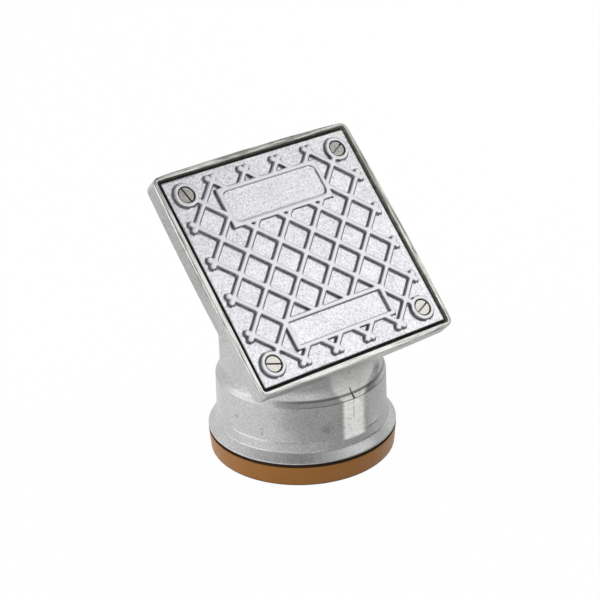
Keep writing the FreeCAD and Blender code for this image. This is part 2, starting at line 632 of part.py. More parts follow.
def make_cover_plate(doc):
    """Casts the square cover with its lattice, panels and screw bosses, flat, then lays it on the slope."""
    plate = make_block(
        doc, "plate", bound(COVER_SIDE), bound(COVER_SIDE), "dims.cover_thickness",
        "0", "0", "-dims.rib_height")
    ribs = [make_rib(doc, step) for step in range(-RIB_COUNT_EACH_SIDE, RIB_COUNT_EACH_SIDE + 1)]
    rising = fuse(doc, "rising_ribs", ribs)
    falling = doc.addObject("Part::Mirroring", "falling_ribs")
    falling.Source = rising
    falling.Normal = Vector(1, 0, 0)
    upper = make_block(
        doc, "upper_panel", "dims.panel_width", "dims.upper_panel_height", "dims.rib_height",
        "0", "dims.upper_panel_centre", "0")
    lower = make_block(
        doc, "lower_panel", "dims.panel_width", "dims.lower_panel_height", "dims.rib_height",
        "0", "-dims.lower_panel_centre", "0")
    bosses = []
    for place, across, along in SCREW_PLACES:
        bosses.append(make_round_block(
            doc, f"boss_{place}", "Cone", "dims.boss_radius", "dims.rib_height", across, along, "0"))
    raised = fuse(doc, "raised_cover", [plate, rising, falling, upper, lower] + bosses)

    lower_field = make_block(
        doc, "lower_field", "dims.panel_width - 2 * dims.panel_border",
        "dims.lower_panel_height - 2 * dims.panel_border", "dims.rib_height",
        "0", "-dims.lower_panel_centre", "0")
    cutters = [make_upper_field(doc), lower_field]
    seat = bound(HEAD_SEAT)
    for place, across, along in SCREW_PLACES:
        head_room = bound("head_radius + head_clearance")
        cutters.append(make_round_block(
            doc, f"head_recess_{place}", "Cylinder", head_room, seat, across, along, "0"))
        shank_room = bound("shank_radius + shank_clearance")
        cutters.append(make_round_block(
            doc, f"shank_hole_{place}", "Cylinder", shank_room, bound(COVER_UNDERSIDE), across, along, "0"))
    cover = doc.addObject("Part::Cut", "cover_plate")
    cover.Label = "cover_plate"
    cover.Base = raised
    cover.Tool = fuse(doc, "cover_cutters", cutters)
    tilt_to_cover(cover, "Placement", "0")
    return cover


def check(doc, parts):
    """Stops if any object failed or any sub-part is not one valid solid."""
    for item in doc.Objects:
        if "Invalid" in item.State or "Error" in item.State:
            raise RuntimeError(f"{item.Label} failed: {item.State}")
    for part in parts:
        shape = part.Shape
        if shape.isNull() or not shape.isValid() or len(shape.Solids) != 1:
            raise RuntimeError(f"{part.Label} is not one valid solid")


def main():
    """Builds every sub-part and writes each to its own file."""
    doc = FreeCAD.newDocument("rodding_eye")
    make_sheet(doc)
    parts = [
        make_cast_body(doc),
        make_seal_cap(doc),
        make_ring_seal(doc),
        make_cover_gasket(doc),
        make_cover_plate(doc),
    ]
    for place, across, along in SCREW_PLACES:
        parts.append(make_cover_screw(doc, place, across, along))
    doc.recompute()
    check(doc, parts)
    os.makedirs("parts", exist_ok=True)
    for part in parts:
        part.Shape.exportStep(f"parts/{part.Label}.step")
        print(part.Label, round(part.Shape.Volume, 1), part.Shape.BoundBox)


main()
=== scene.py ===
import math
from functools import partial

import bpy
import numpy as np
from mathutils import Matrix, Vector, noise
from mathutils.geometry import delaunay_2d_cdt


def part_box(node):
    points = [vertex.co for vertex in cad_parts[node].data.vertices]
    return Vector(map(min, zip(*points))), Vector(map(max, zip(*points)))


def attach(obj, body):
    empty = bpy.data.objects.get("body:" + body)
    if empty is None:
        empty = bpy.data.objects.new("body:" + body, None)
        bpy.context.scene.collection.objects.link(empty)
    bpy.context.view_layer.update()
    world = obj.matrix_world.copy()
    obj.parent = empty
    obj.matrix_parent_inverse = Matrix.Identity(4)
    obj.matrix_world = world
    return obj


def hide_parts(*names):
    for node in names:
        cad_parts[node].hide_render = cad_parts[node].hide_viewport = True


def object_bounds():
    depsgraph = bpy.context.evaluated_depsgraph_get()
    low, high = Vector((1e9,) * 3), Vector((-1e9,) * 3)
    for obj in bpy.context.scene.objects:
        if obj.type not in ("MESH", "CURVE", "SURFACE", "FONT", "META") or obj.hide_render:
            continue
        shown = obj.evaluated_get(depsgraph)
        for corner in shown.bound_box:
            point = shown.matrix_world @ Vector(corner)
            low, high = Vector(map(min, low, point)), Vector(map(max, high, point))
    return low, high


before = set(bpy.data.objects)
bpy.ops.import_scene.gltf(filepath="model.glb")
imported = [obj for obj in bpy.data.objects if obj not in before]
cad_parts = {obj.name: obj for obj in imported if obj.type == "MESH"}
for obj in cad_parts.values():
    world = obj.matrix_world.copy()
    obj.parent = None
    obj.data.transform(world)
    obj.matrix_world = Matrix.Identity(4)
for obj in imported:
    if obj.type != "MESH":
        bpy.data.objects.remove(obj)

bl_info = {
    "name": "Rodding Eye",
    "version": (1, 0, 0),
    "blender": (4, 5, 0),
    "location": "View3D > Sidebar > Rodding Eye",
    "description": "Dresses the frame of a cast rodding eye with its casting, cover, screws, cap and seals",
    "category": "Add Mesh",
}

MM = 0.001
CAD_BOX = [list(corner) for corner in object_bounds()]
MIDDLE = (Vector(CAD_BOX[0]) + Vector(CAD_BOX[1])) / 2
CAST_LOW, CAST_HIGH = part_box("cast_body")
COVER_LOW, COVER_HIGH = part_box("cover_plate")
CAP_LOW, CAP_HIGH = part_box("seal_cap")
COVER_HALF = (COVER_HIGH.x - COVER_LOW.x) / 2
BEAD_LEVEL = CAST_LOW.z + 5 * MM

# The cover lies on a slope: across it, up it and out of it.
TILT = math.radians(45)
ACROSS = Vector((1, 0, 0))
UP_SLOPE = Vector((0, math.cos(TILT), math.sin(TILT)))
OUT = Vector((0, -math.sin(TILT), math.cos(TILT)))

SCREW_PLACES = {
    "upper_left": (-1, 1),
    "upper_right": (1, 1),
    "lower_left": (-1, -1),
    "lower_right": (1, -1),
}
RIBS_EACH_SIDE = 4

# Where a piece has several finishes, the order in which its faces count them.
SKIN, GROUND, SHADED_RECESS = range(3)
BLASTED, RUBBED, PAINTED_SHADE = range(3)

# Dark marks on the casting: centre and radii in millimetres, turn about the X axis, and strength.
MARKS = (
    ((-61.6, -4.4, 43.5), (3.0, 3.0, 1.6), 0, 0.45),
    ((-50.9, -35.0, 50.5), (1.3, 1.3, 1.3), 0, 0.5),
    ((-55.9, -26.4, 39.9), (1.3, 1.3, 1.3), 0, 0.5),
    ((-55.8, -26.7, 36.3), (1.3, 1.3, 1.3), 0, 0.5),
    ((-22.2, -57.7, 40.0), (4.0, 4.0, 3.6), 0, 0.5),
    ((27.5, -52.0, 62.8), (5.0, 4.5, 2.8), 0, 0.8),
    ((30.5, -50.0, 68.5), (6.5, 6.5, 4.2), 0, 0.8),
    ((-1.7, -59.0, 78.3), (1.4, 1.4, 1.4), 0, 0.8),
    ((-26.5, -52.7, 72.7), (1.1, 1.1, 1.1), 0, 0.6),
    ((-0.9, -61.9, 49.0), (0.5, 3.0, 8.0), 0, 0.6),
    ((-86.0, -63.9, 98.2), (3.0, 5.0, 1.4), TILT, 0.8),
    ((-86.0, -5.6, 156.7), (3.0, 6.0, 1.6), TILT, 0.9),
    ((-86.0, 2.5, 164.5), (3.0, 6.0, 1.2), TILT, 0.7),
    ((-86.0, -12.9, 148.8), (3.0, 5.0, 1.2), TILT, 0.7),
    ((-86.0, 11.8, 173.3), (3.0, 1.6, 1.4), TILT, 0.6),
)

# Creases of the casting that are painted darker as shade: height and half of the width, in millimetres.
CREASES = ((62.6, 1.2), (58.7, 0.5))

# A cold shut left a crack across the shoulder: height, middle, half of the width and floor of its two ends,
# and where its mouth lies well clear of the metal, in millimetres.
CRACK = ((58.6, -0.2, 0.8, -59.8), (67.0, -2.0, 0.35, -57.6))
CRACK_MOUTH = -66.0

# The flank of all that stands up from the cover, from its round top edge to the fillet at its foot, and the
# step into the upper panel's field: how far outward and how high, in millimetres.
FLANK = ((-0.95, 0.0), (-0.6, -0.02), (-0.34, -0.08), (-0.16, -0.2), (0.0, -0.4), (0.16, -2.1), (0.32, -2.33),
         (0.6, -2.4), (1.1, -2.4))
PANEL_STEP = ((0.9, 0.0), (0.5, 0.0), (0.1, -0.12), (-0.6, -0.58), (-1.1, -0.7), (-1.5, -0.7))

# The cover's bevels, in millimetres: how far in and down at the plate's top edge, how far in and up at its
# foot, and how far out and down at the rim of a screw's recess.
PLATE_TOP = ((0.15, 0.15), (0, 0.6))
PLATE_FOOT = ((0, 0.5), (0.5, 0))
RECESS_RIM = ((0.1, 0.1), (0, 0.4))

# How far in from the plate's edge and out from a recess the lines lie that keep its face flat there, and the
# plate's round corners on its face and its sides.
EDGE_LINES = (1.3 * MM, 0.6 * MM)
RECESS_LINES = (0.8 * MM, 0.4 * MM)
FACE_CORNER = 0.6 * MM
SIDE_CORNER = 0.9 * MM

# Fillets where ribs and bosses, knobs and panels meet their neighbours, and round corners of a block.
RIB_FILLET = 1.6 * MM
KNOB_FILLET = 0.5 * MM
PANEL_FILLET = 0.8 * MM
PANEL_CORNER = 1.0 * MM
WINDOW_CORNER = 0.6 * MM

# Faces that lie further over than this are painted dark, as the shade on steep sides.
FLANK_STEEP = math.cos(math.radians(60))

# How much the way out of a raised edge must lean sideways for a painted shadow to lie at its foot, the step
# over which that is measured, and how far from the edge the painted shadow starts.
SIDEWAYS = 0.15
SLOPE_STEP = 0.2 * MM
SHADOW_START = 0.1 * MM

# The waves of the sand mould's skin: lengths of the slow and the quick ones, a shift that keeps them apart,
# and the shares of the depth that are even, slow and quick.
SLOW_WAVE = 16 * MM
QUICK_WAVE = 5 * MM
WAVE_SHIFT = Vector((7, 3, 5))
WAVE_SHARES = (0.55, 0.34, 0.1)

# How far the neck is straight above its flare, how much of the frame's underside its fillet may take, and how
# far a slot's cutter reaches past the screw head.
NECK_REACH = 7 * MM
FILLET_SHARE = 0.8
SLOT_OVERRUN = 1.5

# Where rings lie up the throat, and the edge of the ledge's opening: how far in and how far above the
# frame's underside, in millimetres.
THROAT_SHARES = (0.33, 0.67, 1.0)
OPENING_EDGE = ((0, 0.0), (0, 4.5), (-0.5, 5.0))

# The corners of a square, in order.
SQUARE = ((-1, -1), (1, -1), (1, 1), (-1, 1))

# How finely shapes are drawn. The places beside the seam are shares of half a side.
SIDE_STEPS = 36
SEAM_PLACES = {0.008, 0.017, 0.028}
CORNER_STEPS = 8
BEND_STEPS = 4
WALL_STEPS = 4
NECK_STEPS = 12
TURNED_STEPS = 128
CIRCLE_STEPS = 72
SCREW_STEPS = 48
ROWS_PER_THREAD = 6
FLOOR_STEPS = 96
WALL_STEP = 4 * MM
CONTOUR_GRID = 0.75 * MM
WELD = 1e-7
SHARP_ANGLE = math.radians(38)

# Cards for the bright metal to reflect: what they are made of, with its grey and how strongly it glows.
CARD_FINISHES = {
    "black felt": ("#141414", 1.0),
    "dark card": ("#828282", 1.0),
    "grey card": ("#B4B4B4", 1.0),
    "pale card": ("#DADADA", 1.0),
    "middle grey card": ("#989898", 1.0),
    "lit white card": ("#FFFFFF", 3.0),
}

# The cards: name, place in metres, width, height, finish, and whether they lie flat. The others face the
# object, and their places are counted from its middle.
CARDS = (
    ("flag overhead", (0.25, -0.3, 2.1), 1.3, 1.8, "black felt", True),
    ("card overhead", (-0.95, -0.6, 2.1), 1.1, 2.4, "dark card", True),
    ("card over the softbox", (1.9, -0.9, 2.1), 2.0, 3.2, "grey card", True),
    ("flag in front", (-0.45, -2.5, 1.05), 5.6, 1.8, "middle grey card", False),
    ("flag on the right", (2.15, -1.36, 0.55), 1.6, 1.3, "black felt", False),
    ("card on the left", (-2.65, -1.4, 1.1), 1.3, 2.0, "dark card", False),
    ("card on the floor", (0.05, -0.64, 0.001), 1.25, 1.12, "grey card", True),
    ("card on the floor, right", (0.39, -0.01, 0.001), 0.62, 0.22, "pale card", True),
    ("card overhead, left", (-2.3, -0.2, 2.1), 1.5, 2.8, "pale card", True),
    ("low card on the left", (-2.2, 0.6, 0.2), 2.4, 0.45, "lit white card", False),
    ("low card in front", (-1.3, -1.75, 0.0), 2.4, 0.2, "lit white card", False),
    ("card on the floor, behind", (-0.4, 0.5, 0.001), 0.8, 0.6, "pale card", True),
    # A black card under the cap stands in, in reflections, for the contact shadow beneath it.
    ("felt under the cap", (0, 0, CAP_LOW.z - 0.03 * MM), 94 * MM, 94 * MM, "black felt", True),
)

# The floor lies a hair below the cap and glows by this share where it is seen. The surroundings are white,
# and light the object by this much.
FLOOR_DROP = 0.05 * MM
FLOOR_GLOW = 0.97
SKY_STRENGTH = 0.6
WHITE = (1, 1, 1, 1)
SENSOR_WIDTH = 36
CLIP_START = 0.01


# Properties

def length(name, millimetres, description):
    """Gives a size property in metres from its value in millimetres."""
    return bpy.props.FloatProperty(
        name=name, description=description, default=millimetres * MM, unit="LENGTH", precision=5)


def angle(name, degrees, description):
    """Gives an angle property from its value in degrees."""
    return bpy.props.FloatProperty(
        name=name, description=description, default=math.radians(degrees), unit="ROTATION")


def power(name, watts, description):
    """Gives the property of a light's power."""
    return bpy.props.FloatProperty(name=name, description=description, default=watts, unit="POWER")


def linear(hex_text):
    """Turns an sRGB hex colour into linear red, green, blue and alpha."""
    channels = [int(hex_text[place:place + 2], 16) / 255 for place in (1, 3, 5)]
    straight = [c / 12.92 if c <= 0.04045 else ((c + 0.055) / 1.055) ** 2.4 for c in channels]
    return (*straight, 1.0)


def colour(name, hex_text, description):
    """Gives a colour property from its sRGB hex value."""
    return bpy.props.FloatVectorProperty(
        name=name, description=description, subtype="COLOR", size=4, min=0, max=1, default=linear(hex_text))


class CastingSizes(bpy.types.PropertyGroup):
    """Sizes of the one-piece casting: socket, neck and frame."""
    bore: length("Bore", 55.4, "Radius of the socket bore")
    throat: length("Throat", 52.5, "Radius of the throat above the pipe stop")
    neck: length("Neck", 58.0, "Outer radius of the neck")
    kink: length("Kink", 59.6, "Radius where the flared neck meets the shoulder")
    socket: length("Socket", 61.6, "Outer radius of the socket at the shoulder")
    socket_foot: length("Socket foot", 61.95, "Outer radius of the socket at the collar")
    collar: length("Collar", 63.3, "Radius where the collar meets the flange")
    chamber: length("Chamber", 60.5, "Radius of the seal chamber")
    mouth: length("Mouth", 64.4, "Outer radius of the mouth")
    bead: length("Bead", 0.7, "Height of the bead that holds the cap")
    flange_level: length("Flange level", 17.7, "Height of the flange's underside")
    flange_edge: length("Flange edge", 0.9, "Thickness of the flange's edge")
    collar_level: length("Collar level", 24.0, "Height of the collar's foot")
    socket_level: length("Socket level", 31.0, "Height where the collar runs out")
    shoulder_level: length("Shoulder level", 58.9, "Height of the shoulder's foot")
    kink_level: length("Kink level", 62.7, "Height where the flared neck meets the shoulder")
    neck_level: length("Neck level", 69.0, "Height where the neck begins to flare")
    chamber_level: length("Chamber level", 22.0, "Height of the seal chamber's roof")
    stop_level: length("Stop level", 62.0, "Height of the pipe stop")
    rim_width: length("Rim width", 3.2, "Width of the frame's rim at its corners")
    rim_depth: length("Rim depth", 1.3, "Depth of the rim below the rib tops")
    rim_round: length("Rim round", 1.3, "Rounding of the rim's outer edge, worn by the belt")
    side_bow: length("Side bow", 1.3, "Outward bow of the frame's sides")
    ledge_depth: length("Ledge depth", 10.0, "Depth of the ledge below the rib tops")
    frame_depth: length("Frame depth", 15.0, "Depth of the frame's underside below the rib tops")
    corner_radius: length("Corner radius", 6.0, "Corner radius of the frame")
    recess_radius: length("Recess radius", 2.2, "Corner radius of the recess for the cover")
    foot_radius: length("Foot radius", 1.6, "Rounding of the frame's lower edge")
    fillet_least: length("Fillet least", 1.0, "Fillet under the frame, at the neck's front and back")
    fillet_growth: length("Fillet growth", 4.5, "How much that fillet grows towards the neck's sides")
    axis_shift: length("Axis shift", 1.25, "Distance of the socket axis up the slope from the frame's centre")
    opening: length("Opening", 50.0, "Radius of the round ends of the ledge's opening")
    opening_stretch: length("Opening stretch", 16.0, "Half of the opening's straight length")
    thread_boss: length("Thread boss", 8.0, "Radius of the threaded bosses under the ledge")
    thread_boss_length: length("Thread boss length", 10.0, "Length of the threaded bosses")
    thread_hole: length("Thread hole", 3.1, "Radius of the threaded holes")
    mould_line: length("Mould line", 0.35, "Height of the fine line round the top of the collar")
    waviness: length("Waviness", 0.16, "Depth of the waves of the sand mould's skin")


class CoverSizes(bpy.types.PropertyGroup):
    """Sizes of the cover plate."""
    gap: length("Gap", 2.3, "Gap between the cover and the frame")
    thickness: length("Thickness", 5.6, "Thickness of the plate under its ribs")
    rib_height: length("Rib height", 2.4, "Height of ribs, panels and bosses")
    rib_width: length("Rib width", 3.3, "Width of a rib")
    rib_tail: length("Rib tail", 3.4, "How far a rib runs past its last crossing")
    knob: length("Knob", 2.3, "Radius of the round knob at the end of a rib")
    # The dark line is a painted shadow.
    painted_shadow: length("Soot", 1.1, "Width of the dark line along the foot of what faces sideways")
    lattice_margin: length("Lattice margin", 9.0, "Distance of the outer crossings from the cover's edge")
    panel_width: length("Panel width", 87.0, "Width of both panels")
    panel_border: length("Panel border", 3.2, "Border of both panels")
    upper_height: length("Upper height", 31.0, "Height of the upper panel")
    upper_centre: length("Upper centre", 48.0, "Distance of the upper panel above the cover's centre")
    upper_depth: length("Upper depth", 0.7, "Depth of the upper panel's field")
    upper_radius: length("Upper radius", 5.0, "Corner radius of the upper panel's field")
    lower_height: length("Lower height", 23.8, "Height of the lower panel")
    lower_centre: length("Lower centre", 51.6, "Distance of the lower panel below the cover's centre")
    screw_inset: length("Screw inset", 13.5, "Distance of the screws from the cover's edges")
    boss: length("Boss", 9.2, "Radius of a screw boss")
    head_room: length("Head room", 6.3, "Radius of the recess for a screw head")
    head_seat: length("Head seat", 4.5, "Depth of the recess for a screw head")
    shank_room: length("Shank room", 3.4, "Radius of the hole for a screw's shank")


class ScrewSizes(bpy.types.PropertyGroup):
    """Sizes of the slotted cheese head screws, and how far each slot is turned."""
    head: length("Head", 5.8, "Radius of a screw head")
    head_height: length("Head height", 4.0, "Height of a screw head")
    head_sink: length("Head sink", 0.5, "Depth of a screw head below the boss's top")
    slot_width: length("Slot width", 1.3, "Width of the slot")
    slot_depth: length("Slot depth", 1.8, "Depth of the slot")
    shank: length("Shank", 3.0, "Radius of the threaded shank")
    shank_length: length("Shank length", 18.0, "Length of the threaded shank")
    thread_pitch: length("Thread pitch", 1.0, "Pitch of the thread")
    thread_depth: length("Thread depth", 0.5, "Depth of the thread")
    upper_left: angle("Upper left", 104, "Turn of the upper left slot")
    upper_right: angle("Upper right", 27, "Turn of the upper right slot")
    lower_left: angle("Lower left", 162, "Turn of the lower left slot")
    lower_right: angle("Lower right", 23, "Turn of the lower right slot")


class CapSizes(bpy.types.PropertyGroup):
    """Sizes of the snap cap."""
    floor: length("Floor", 3.0, "Thickness of the cap's floor")
    draft: length("Draft", 0.8, "How much the cap narrows towards its floor")
    bevel: length("Bevel", 0.9, "Bevel at the foot of the cap")
    clearance: length("Clearance", 0.1, "Clearance between the cap and the mouth")
    lip: length("Lip", 0.45, "How far the moulded lip stands out")
    lip_drop: length("Lip drop", 0.95, "How far the moulded lip stays below its full height")


class Finishes(bpy.types.PropertyGroup):
    """Colours of the finishes and of the stage."""
    cover: colour("Blasted aluminium", "#DCDCE0", "Shot-blasted skin of the cover")
    glint: colour("Fresh aluminium", "#F4F4F7", "Fresh aluminium in the dimples of the cover")
    rubbed: colour("Rubbed aluminium", "#DADADD", "Raised parts of the cover, rubbed by handling")
    # Painted shade: the flank colours darken the steep sides of ribs, bosses and plate, the slots and the
    # crack.
    flank: colour("Flank", "#88898C", "Sooty skin on the steep sides of the ribs")
    flank_half_shade: colour("Worn flank", "#ACADB0", "Soot worn thin on the steep sides of the ribs")
    casting: colour("Cast aluminium", "#D3D4D3", "Skin of the casting")
    ground: colour("Ground aluminium", "#F2F1ED", "Aluminium laid bare by the grinding belt")
    # The bare colour also paints the highlight over the ground band.
    bare: colour("Bare aluminium", "#FCFBF8", "Fresh aluminium in the ground band on the socket")
    dusty: colour("Dusty aluminium", "#ACADAD", "Mould dust in the skin of the casting")
    oxide: colour("Oxide", "#BEBFC2", "Oxide between the dimples of the cover")
    # The stain colour also paints the shade in the creases.
    stain_and_shade: colour("Stain", "#7C7D7A", "Stains on the casting")
    belt: colour("Belt", "#DEDDD8", "Linished rim")
    scratch_dirt_and_shade: colour("Handled", "#8F8D86", "Dirt in the scratches of the rim")
    # The handled colour is dirt in the scratches and painted shade on the rim's upper and right side.
    recess_shade: colour("Grime", "#9A998F", "Grime on the walls of the frame's recess")
    # Painted shade: these greys paint the recess walls under the cover as the shade in the gap.
    recess_deep_shade: colour("Thick grime", "#6E6D64", "Thick grime on the walls of the frame's recess")
    screw: colour("Plated steel", "#D0CDC6", "Plated steel of the screws")
    # The tarnish colour is partly tarnish at random and partly painted shade on the upper screws.
    tarnish_and_shade: colour("Tarnish", "#8A8882", "Tarnish on the screws' plating")
    rubber: colour("Rubber", "#343434", "Rubber of the gasket and of the ring seal")
    bloom: colour("Bloom", "#545454", "Grey bloom on the rubber")
    cap: colour("Terracotta", "#8C5A1C", "Terracotta plastic of the cap")
    # Painted shade: the contact shadow along the cap's foot and the shade under the flange on its lip.
    cap_shade: colour("Cap foot", "#3E2810", "Grime along the foot and on the lip of the cap")
    floor: colour("Floor", "#FFFFFF", "Floor and surroundings")


class StageSizes(bpy.types.PropertyGroup):
    """Places of the camera and strengths of the studio's lights."""
    camera_place: bpy.props.FloatVectorProperty(
        name="Camera place", description="Where the camera stands", subtype="TRANSLATION", unit="LENGTH",
        default=(-0.71434, -0.94861, 0.67845))
    camera_turn: angle("Camera turn", -37.037, "Turn of the camera round the object, from the front")
    camera_rise: angle("Camera rise", 25.476, "Angle from which the camera looks down")
    camera_roll: angle("Camera roll", -1.857, "Tilt of the camera's own horizon")
    lens: bpy.props.FloatProperty(
        name="Lens", description="Focal length on a 36 mm sensor", default=111.34, unit="CAMERA")
    softbox: power("Softbox", 2.2, "Power of the large softbox, up and to the right")
    strip: power("Strip light", 24, "Power of the long low light on the left")
    back: power("Back light", 12, "Power of the light behind on the right")
    floor_radius: bpy.props.FloatProperty(
        name="Floor radius", description="Radius of the floor", default=12, unit="LENGTH")


class RoddingEye(bpy.types.PropertyGroup):
    """Every size and colour of the rodding eye."""
    casting: bpy.props.PointerProperty(
        type=CastingSizes, name="Casting", description="Sizes of the casting")
    cover: bpy.props.PointerProperty(
        type=CoverSizes, name="Cover", description="Sizes of the cover")
    screws: bpy.props.PointerProperty(
        type=ScrewSizes, name="Screws", description="Sizes of the screws")
    cap: bpy.props.PointerProperty(
        type=CapSizes, name="Cap", description="Sizes of the snap cap")
    finishes: bpy.props.PointerProperty(
        type=Finishes, name="Finishes", description="Colours of the finishes")
    stage: bpy.props.PointerProperty(
        type=StageSizes, name="Stage", description="Camera and lights")


# Meshes

def skin_rings(rings, finishes=None, closed=False):
    """Skins a stack of equal rings, from the top down; a closed stack joins its last ring to its first."""
    count = len(rings[0])
    points = [point for ring in rings for point in ring]
    faces = []
    indices = []
    for upper in range(len(rings) if closed else len(rings) - 1):
        lower = (upper + 1) % len(rings)
        for place in range(count):
            beside = (place + 1) % count
            faces.append((lower * count + place, lower * count + beside,
                          upper * count + beside, upper * count + place))
            indices.append(finishes[upper] if finishes else 0)
    return points, faces, indices


def capped(rings):
    """Skins a stack of rings, from the top down, and closes both of its ends."""
    points, faces = skin_rings(rings)[:2]
    count = len(rings[0])
    return points, faces + [tuple(range(count)), tuple(reversed(range(len(points) - count, len(points))))]


def make_object(name, points, faces, finishes, indices=None):
    """Makes a mesh object with its finishes."""
    mesh = bpy.data.meshes.new(name)
    mesh.from_pydata([tuple(point) for point in points], [], faces)
    for finish in finishes:
        mesh.materials.append(finish)
    if indices:
        mesh.polygons.foreach_set("material_index", indices)
    mesh.validate()
    thing = bpy.data.objects.new(name, mesh)
    bpy.context.scene.collection.objects.link(thing)
    return thing


def smooth(thing):
    """Shades a finished mesh smooth up to its sharp edges, and keeps its flat faces flat."""
    thing.data.polygons.foreach_set("use_smooth", [True] * len(thing.data.polygons))
    thing.data.set_sharp_from_angle(angle=SHARP_ANGLE)
    weighted = thing.modifiers.new("Flat faces stay flat", "WEIGHTED_NORMAL")
    weighted.keep_sharp = True


def cut_or_join(thing, other, operation):
    """Cuts another mesh out of a thing, or joins it on, and removes the other."""
    step = thing.modifiers.new(operation.title(), "BOOLEAN")
    step.operation = operation
    step.solver = "EXACT"
    step.material_mode = "TRANSFER"
    step.object = other
    shown = thing.evaluated_get(bpy.context.evaluated_depsgraph_get())
    before = thing.data
    result = bpy.data.meshes.new_from_object(shown)
    thing.modifiers.clear()
    thing.data = result
    result.name = thing.name
    bpy.data.meshes.remove(before)
    bpy.data.objects.remove(other)


def bend(start, corner, end):
    """Gives the points of a round bend between two points, about the corner where they would meet."""
    shares = [step / BEND_STEPS for step in range(BEND_STEPS + 1)]
    return [start * (1 - t) ** 2 + corner * 2 * t * (1 - t) + end * t ** 2 for t in shares]


def rounded_section(corners):
    """Draws a section by radius and height, each corner rounded by the length that it gives on both sides."""
    places = [Vector(corner[:2]) for corner in corners]
    section = []
    for index, corner in enumerate(places):
        reach = corners[index][2]
        if reach:
            before, after = places[index - 1], places[(index + 1) % len(places)]
            section += bend(corner + (before - corner).normalized() * reach, corner,
                            corner + (after - corner).normalized() * reach)
        else:
            section.append(corner)
    return section


def bead_section(radius, height, play=0.0):
    """Gives the section of the bead round the mouth, or of the groove that takes it, from the top down."""
    shape = ((0, 3.0 * MM + play), (height, 2.2 * MM + play), (height, 0.8 * MM - play), (0, -play))
    return [(radius + outward, BEAD_LEVEL + rise, 0) for outward, rise in shape]


def spread(section, step):
    """Adds points to a section so that none is further than a step from the next."""
    spaced = [section[0]]
    for start, end in zip(section, section[1:]):
        parts = max(1, math.ceil((end - start).length / step))
        spaced += [start.lerp(end, part / parts) for part in range(1, parts + 1)]
    return spaced


def full_turn(steps):
    """Gives the angles of a full turn in even steps."""
    return [2 * math.pi * step / steps for step in range(steps)]


def polar(radius, angle, height):
    """Gives a point by its distance from the upright axis, its angle round it and its height."""
    return Vector((radius * math.cos(angle), radius * math.sin(angle), height))


def turned(section, turns):
    """Turns a section of radius and height round the upright axis, as rings."""
    return [[polar(radius, angle, height) for angle in turns] for radius, height in section]


def ring_points(centre, radius, steps=CIRCLE_STEPS):
    """Gives the points of a circle on a flat face."""
    return [Vector((centre[0] + radius * math.cos(a), centre[1] + radius * math.sin(a)))
            for a in full_turn(steps)]


def on_slope(centre, across, along, out):
    """Gives the place of a point by its distances across, up and out of the slope."""
    return centre + ACROSS * across + UP_SLOPE * along + OUT * out


def face_centre(cover):
    """Gives the middle of the cover's face, in the plane of the rib tops."""
    return (COVER_LOW + COVER_HIGH) / 2 + OUT * (cover.rib_height + cover.thickness / 2)


def screw_spots(cover):
    """Gives the places of the screws on the cover."""
    reach = COVER_HALF - cover.screw_inset
    return {place: (across * reach, along * reach) for place, (across, along) in SCREW_PLACES.items()}


def round_pegs(name, centre, spots, rings, finish):
    """Makes one round peg square to the slope at each spot, as one mesh of separate pegs."""
    points = []
    faces = []
    for across, along in spots:
        peg, sides = capped(rings)
        faces += [tuple(len(points) + number for number in side) for side in sides]
        points += [on_slope(centre, across + p.x, along + p.y, p.z) for p in peg]
    return make_object(name, points, faces, [finish])


# Finishes

def set_inputs(node, inputs):
    """Gives a node's sockets, by name or in order, plain values or other nodes' outputs."""
    for socket, value in inputs.items() if isinstance(inputs, dict) else enumerate(inputs):
        if isinstance(value, bpy.types.NodeSocket):
            node.id_data.links.new(value, node.inputs[socket])
        else:
            node.inputs[socket].default_value = value


def add_node(tree, kind, inputs=(), output=0, stops=(), **settings):
    """Adds a shader node, of the kind and the operation that its name says, and gives one of its outputs.

    Inputs in order are, for a MapRange, its value and the ranges that it comes from and goes to.
    """
    kind, _, operation = kind.partition(".")
    node = tree.nodes.new("ShaderNode" + kind)
    if operation:
        node.operation = operation
    for name, value in settings.items():
        setattr(node, name, value)
    for number, (place, tint) in enumerate(stops):
        elements = node.color_ramp.elements
        element = elements[number] if number < len(elements) else elements.new(place)
        element.position = place
        element.color = tint
    set_inputs(node, inputs)
    return node.outputs[output]


def new_finish(name):
    """Starts a material: gives it, its shader, a way to add nodes to it, and the object's own coordinates."""
    finish = bpy.data.materials.new(name)
    finish.use_nodes = True
    add = partial(add_node, finish.node_tree)
    return finish, finish.node_tree.nodes["Principled BSDF"], add, add("TexCoord", output="Object")


def per_grain(millimetres):
    """Gives the texture scale at which one grain has this size."""
    return 1 / (millimetres * MM)


def clouded(name, millimetres, dark, light, looks, depth=0.0):
    """Makes a finish that goes from dark to light in clouds of this size, in relief where it has a depth."""
    finish, shader, add, place = new_finish(name)
    cloud = add("TexNoise", {
        "Vector": place, "Scale": per_grain(millimetres), "Detail": 3.0, "Roughness": 0.6})
    set_inputs(shader, looks | {"Base Color": add("ValToRGB", [cloud], stops=(dark, light))})
    if depth:
        bump = add("Bump", {"Height": cloud, "Strength": 1.0, "Distance": depth * MM})
        set_inputs(shader, {"Normal": bump})
    return finish


